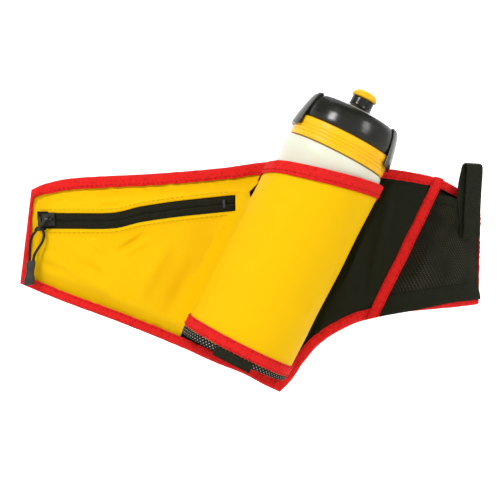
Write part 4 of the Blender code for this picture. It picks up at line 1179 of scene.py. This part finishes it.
def whole_face(a, b):
    """Flat (s, z) over the whole outline: a from its left end to its right, b from its foot to its top."""
    s_low = mix(BOTTOM_CURVE[0][0] + EDGE_INSET, BOTTOM_CURVE[-1][0] - EDGE_INSET, a)
    s_top = mix(TOP_CURVE[0][0] + EDGE_INSET, TOP_CURVE[-1][0] - EDGE_INSET, a)
    return mix(s_low, s_top, b), mix(bottom_z(s_low, EDGE_INSET), top_z(s_top, EDGE_INSET), b)


def back_pad():
    """The padded lining, quilted in slanting channels, and the carrier fabric in front of it."""
    def surface(a, b):
        s, z = whole_face(1 - a, b)
        edge = min(z - bottom_z(s), top_z(s) - z, s - BOTTOM_CURVE[0][0], BOTTOM_CURVE[-1][0] - s)
        channel = abs(math.sin(math.pi * (s * 0.8 + z * 0.6) / (26 * MM))) ** 0.45
        return wrap(s, z, -4.6 * MM - 1.7 * MM * ramp(edge, 6, 9) * channel)

    obj = cloth("back_pad", surface, 220, 90, "spacer_mesh", ["back_lining", "foam_pad"])

    def carrier(a, b):
        s, z = whole_face(a, b)
        return wrap(s, z, -0.1 * MM + ripple(s, z, 18 * MM, 11.0) * 0.15 * MM)

    cloth("carrier_cloth", carrier, 150, 60, "black_stretch", ["base_panel"], panel_on=["back_pad"])


def webbing(name, replaced, path, s0, s1, steps, lean=0.0, sway=0.0):
    """Flat webbing from s0 to s1, with path(b) giving the (z, d) across it.

    It leans to the right by lean for each metre above LOOP_LOW, and its rear part bows to the left by sway.
    """
    def surface(a, b):
        z, d = path(b)
        bow = sway * math.sin(math.pi * smooth((b - 0.4) / 0.6))
        return wrap(mix(s0, s1, a) + lean * (z - LOOP_LOW) - bow, z, d)

    obj = cloth(name, surface, steps, 40, "black_webbing", replaced, WEBBING)
    round_edges(obj, 0.35 * MM, 2)


def loop_path(b):
    """(z, d) of the loop's outer face, up the front leg, over the crown and down the rear leg."""
    leg = LOOP_CROWN - LOOP_LOW
    radius = (LOOP_FRONT - LOOP_REAR + WEBBING) / 2
    middle = (LOOP_FRONT + LOOP_REAR) / 2
    travelled = b * (2 * leg + math.pi * radius)
    if travelled < leg:
        pinch = 0.5 * MM * math.sin(math.pi * travelled / leg)
        return LOOP_LOW + travelled, middle + radius - pinch
    if travelled > leg + math.pi * radius:
        down = travelled - leg - math.pi * radius
        return LOOP_CROWN - down, middle - radius
    turn = (travelled - leg) / radius
    return LOOP_CROWN + radius * math.sin(turn), middle + radius * math.cos(turn)


def belt():
    def strap_path(b):
        return mix(STRAP_Z - STRAP_HALF, STRAP_Z + STRAP_HALF, b), STRAP_FACE

    for name, s0, s1, steps in (("left", -150 * MM, 11.7 * MM, 110), ("right", 45 * MM, 160 * MM, 90)):
        webbing(f"{name}_strap", [f"{name}_belt_strap"], strap_path, s0, s1, steps)
    webbing("pull_loop", ["webbing_loop"], loop_path, *LOOP_SPAN, 16, LOOP_LEAN, LOOP_SWAY)


def hard_parts():
    """CAD nodes that are shown as they are get their finish, and the four in radii also get rounded edges."""
    looks = {"buckle_female": "buckle_black", "buckle_male": "buckle_black", "strap_keeper": "black_webbing",
             "zip_slider": "dark_metal", "zip_stop_left": "zip_coil", "zip_stop_right": "zip_coil",
             "pull_link": "dark_metal", "cap_seal": "seal_grey"}
    radii = {"pull_link": 0.2, "buckle_female": 1.0, "buckle_male": 0.9, "zip_slider": 0.35}
    for node, look in looks.items():
        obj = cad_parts[node]
        obj.data.materials.clear()
        obj.data.materials.append(LOOKS[look])
        if node in radii:
            round_edges(obj, radii[node] * MM)


# ---------------------------------------------------------------- stage

def backdrop():
    """A pale round bowl that glows by emission, a painted light that is brighter far behind the pack, with
    the pack held above its floor.
    """
    floor_z = CAD_BOX[0].z - 0.22
    profile = [(0.0001, 0), (1.6, 0), (2.2, 0.03), (2.6, 0.2), (2.9, 0.6), (3.0, 1.2), (3.0, 3.2)]
    columns = []
    for k in range(96):
        turn = math.tau * k / 96
        columns.append([Vector((r * math.cos(turn), r * math.sin(turn), floor_z + h)) for r, h in profile])
    bm = grid_mesh(columns, closed_u=True)
    mesh = bpy.data.meshes.new("floor")
    bm.to_mesh(mesh)
    bm.free()
    mesh.shade_smooth()
    # Painted light: the bowl glows by emission, dimly near the pack and brightly far behind it.
    paper = Shade("glowing_backdrop", (0.8, 0.8, 0.8), 0.9, Emission_Color=(1, 1, 1, 1))
    place = paper.node("ShaderNodeTexCoord").outputs["Object"]
    depth = paper.node("ShaderNodeSeparateXYZ", Vector=place).outputs["Y"]
    glow = paper.node("ShaderNodeMapRange", {"interpolation_type": "SMOOTHSTEP"}, Value=depth, From_Min=0.3,
                      From_Max=2.2, To_Min=0.12, To_Max=0.75)
    paper.set("Emission Strength", glow.outputs[0])
    mesh.materials.append(paper.material)
    link("floor", mesh)


def lights():
    """Soft square lamps of (name, place, height of the point aimed at, size, power), and a white sky."""
    lamps = [("key", (-0.9, -1.2, 1.3), 0.02, 0.5, 21), ("fill", (1.3, -1.3, 0.55), 0, 0.5, 7),
             ("top", (0.1, 0.3, 1.7), 0, 1.2, 6), ("back", (0.2, 1.7, 0.9), 0, 1.2, 12)]
    for name, place, aim, size, power in lamps:
        lamp = bpy.data.lights.new(name, "AREA")
        lamp.size = size
        lamp.energy = power
        obj = link(name, lamp)
        obj.location = place
        obj.rotation_mode = "QUATERNION"
        obj.rotation_quaternion = (Vector((0, 0, aim)) - Vector(place)).to_track_quat("-Z", "Y")
    world = bpy.data.worlds.new("studio")
    world.use_nodes = True
    sky = world.node_tree.nodes["Background"]
    sky.inputs["Color"].default_value = (1, 1, 1, 1)
    sky.inputs["Strength"].default_value = 0.3
    bpy.context.scene.world = world
    bpy.context.scene.view_settings.view_transform = "Standard"


def front_camera():
    """A camera in front of the pack, distance away, whose frame is field wide there."""
    camera = link("camera", bpy.data.cameras.new("camera"))
    distance, field = 0.9, 0.32
    camera.data.lens = camera.data.sensor_width * distance / field
    camera.data.clip_start = 0.05
    camera.location = Vector((0, -distance - 35 * MM, 94.6 * MM)) - ORIGIN
    camera.rotation_euler = (math.pi / 2, 0, 0)
    bpy.context.scene.camera = camera


back_pad()
edge_binding()
left_wing()
zip_tapes()
zip_pull()
side_panel()
trim_strip()
mesh_pocket()
holster_sleeve()
holster_tapes()
holster_stitches()
holster_floor()
bottle()
cap()
cap_wings()
belt()
hard_parts()
backdrop()
lights()
front_camera()
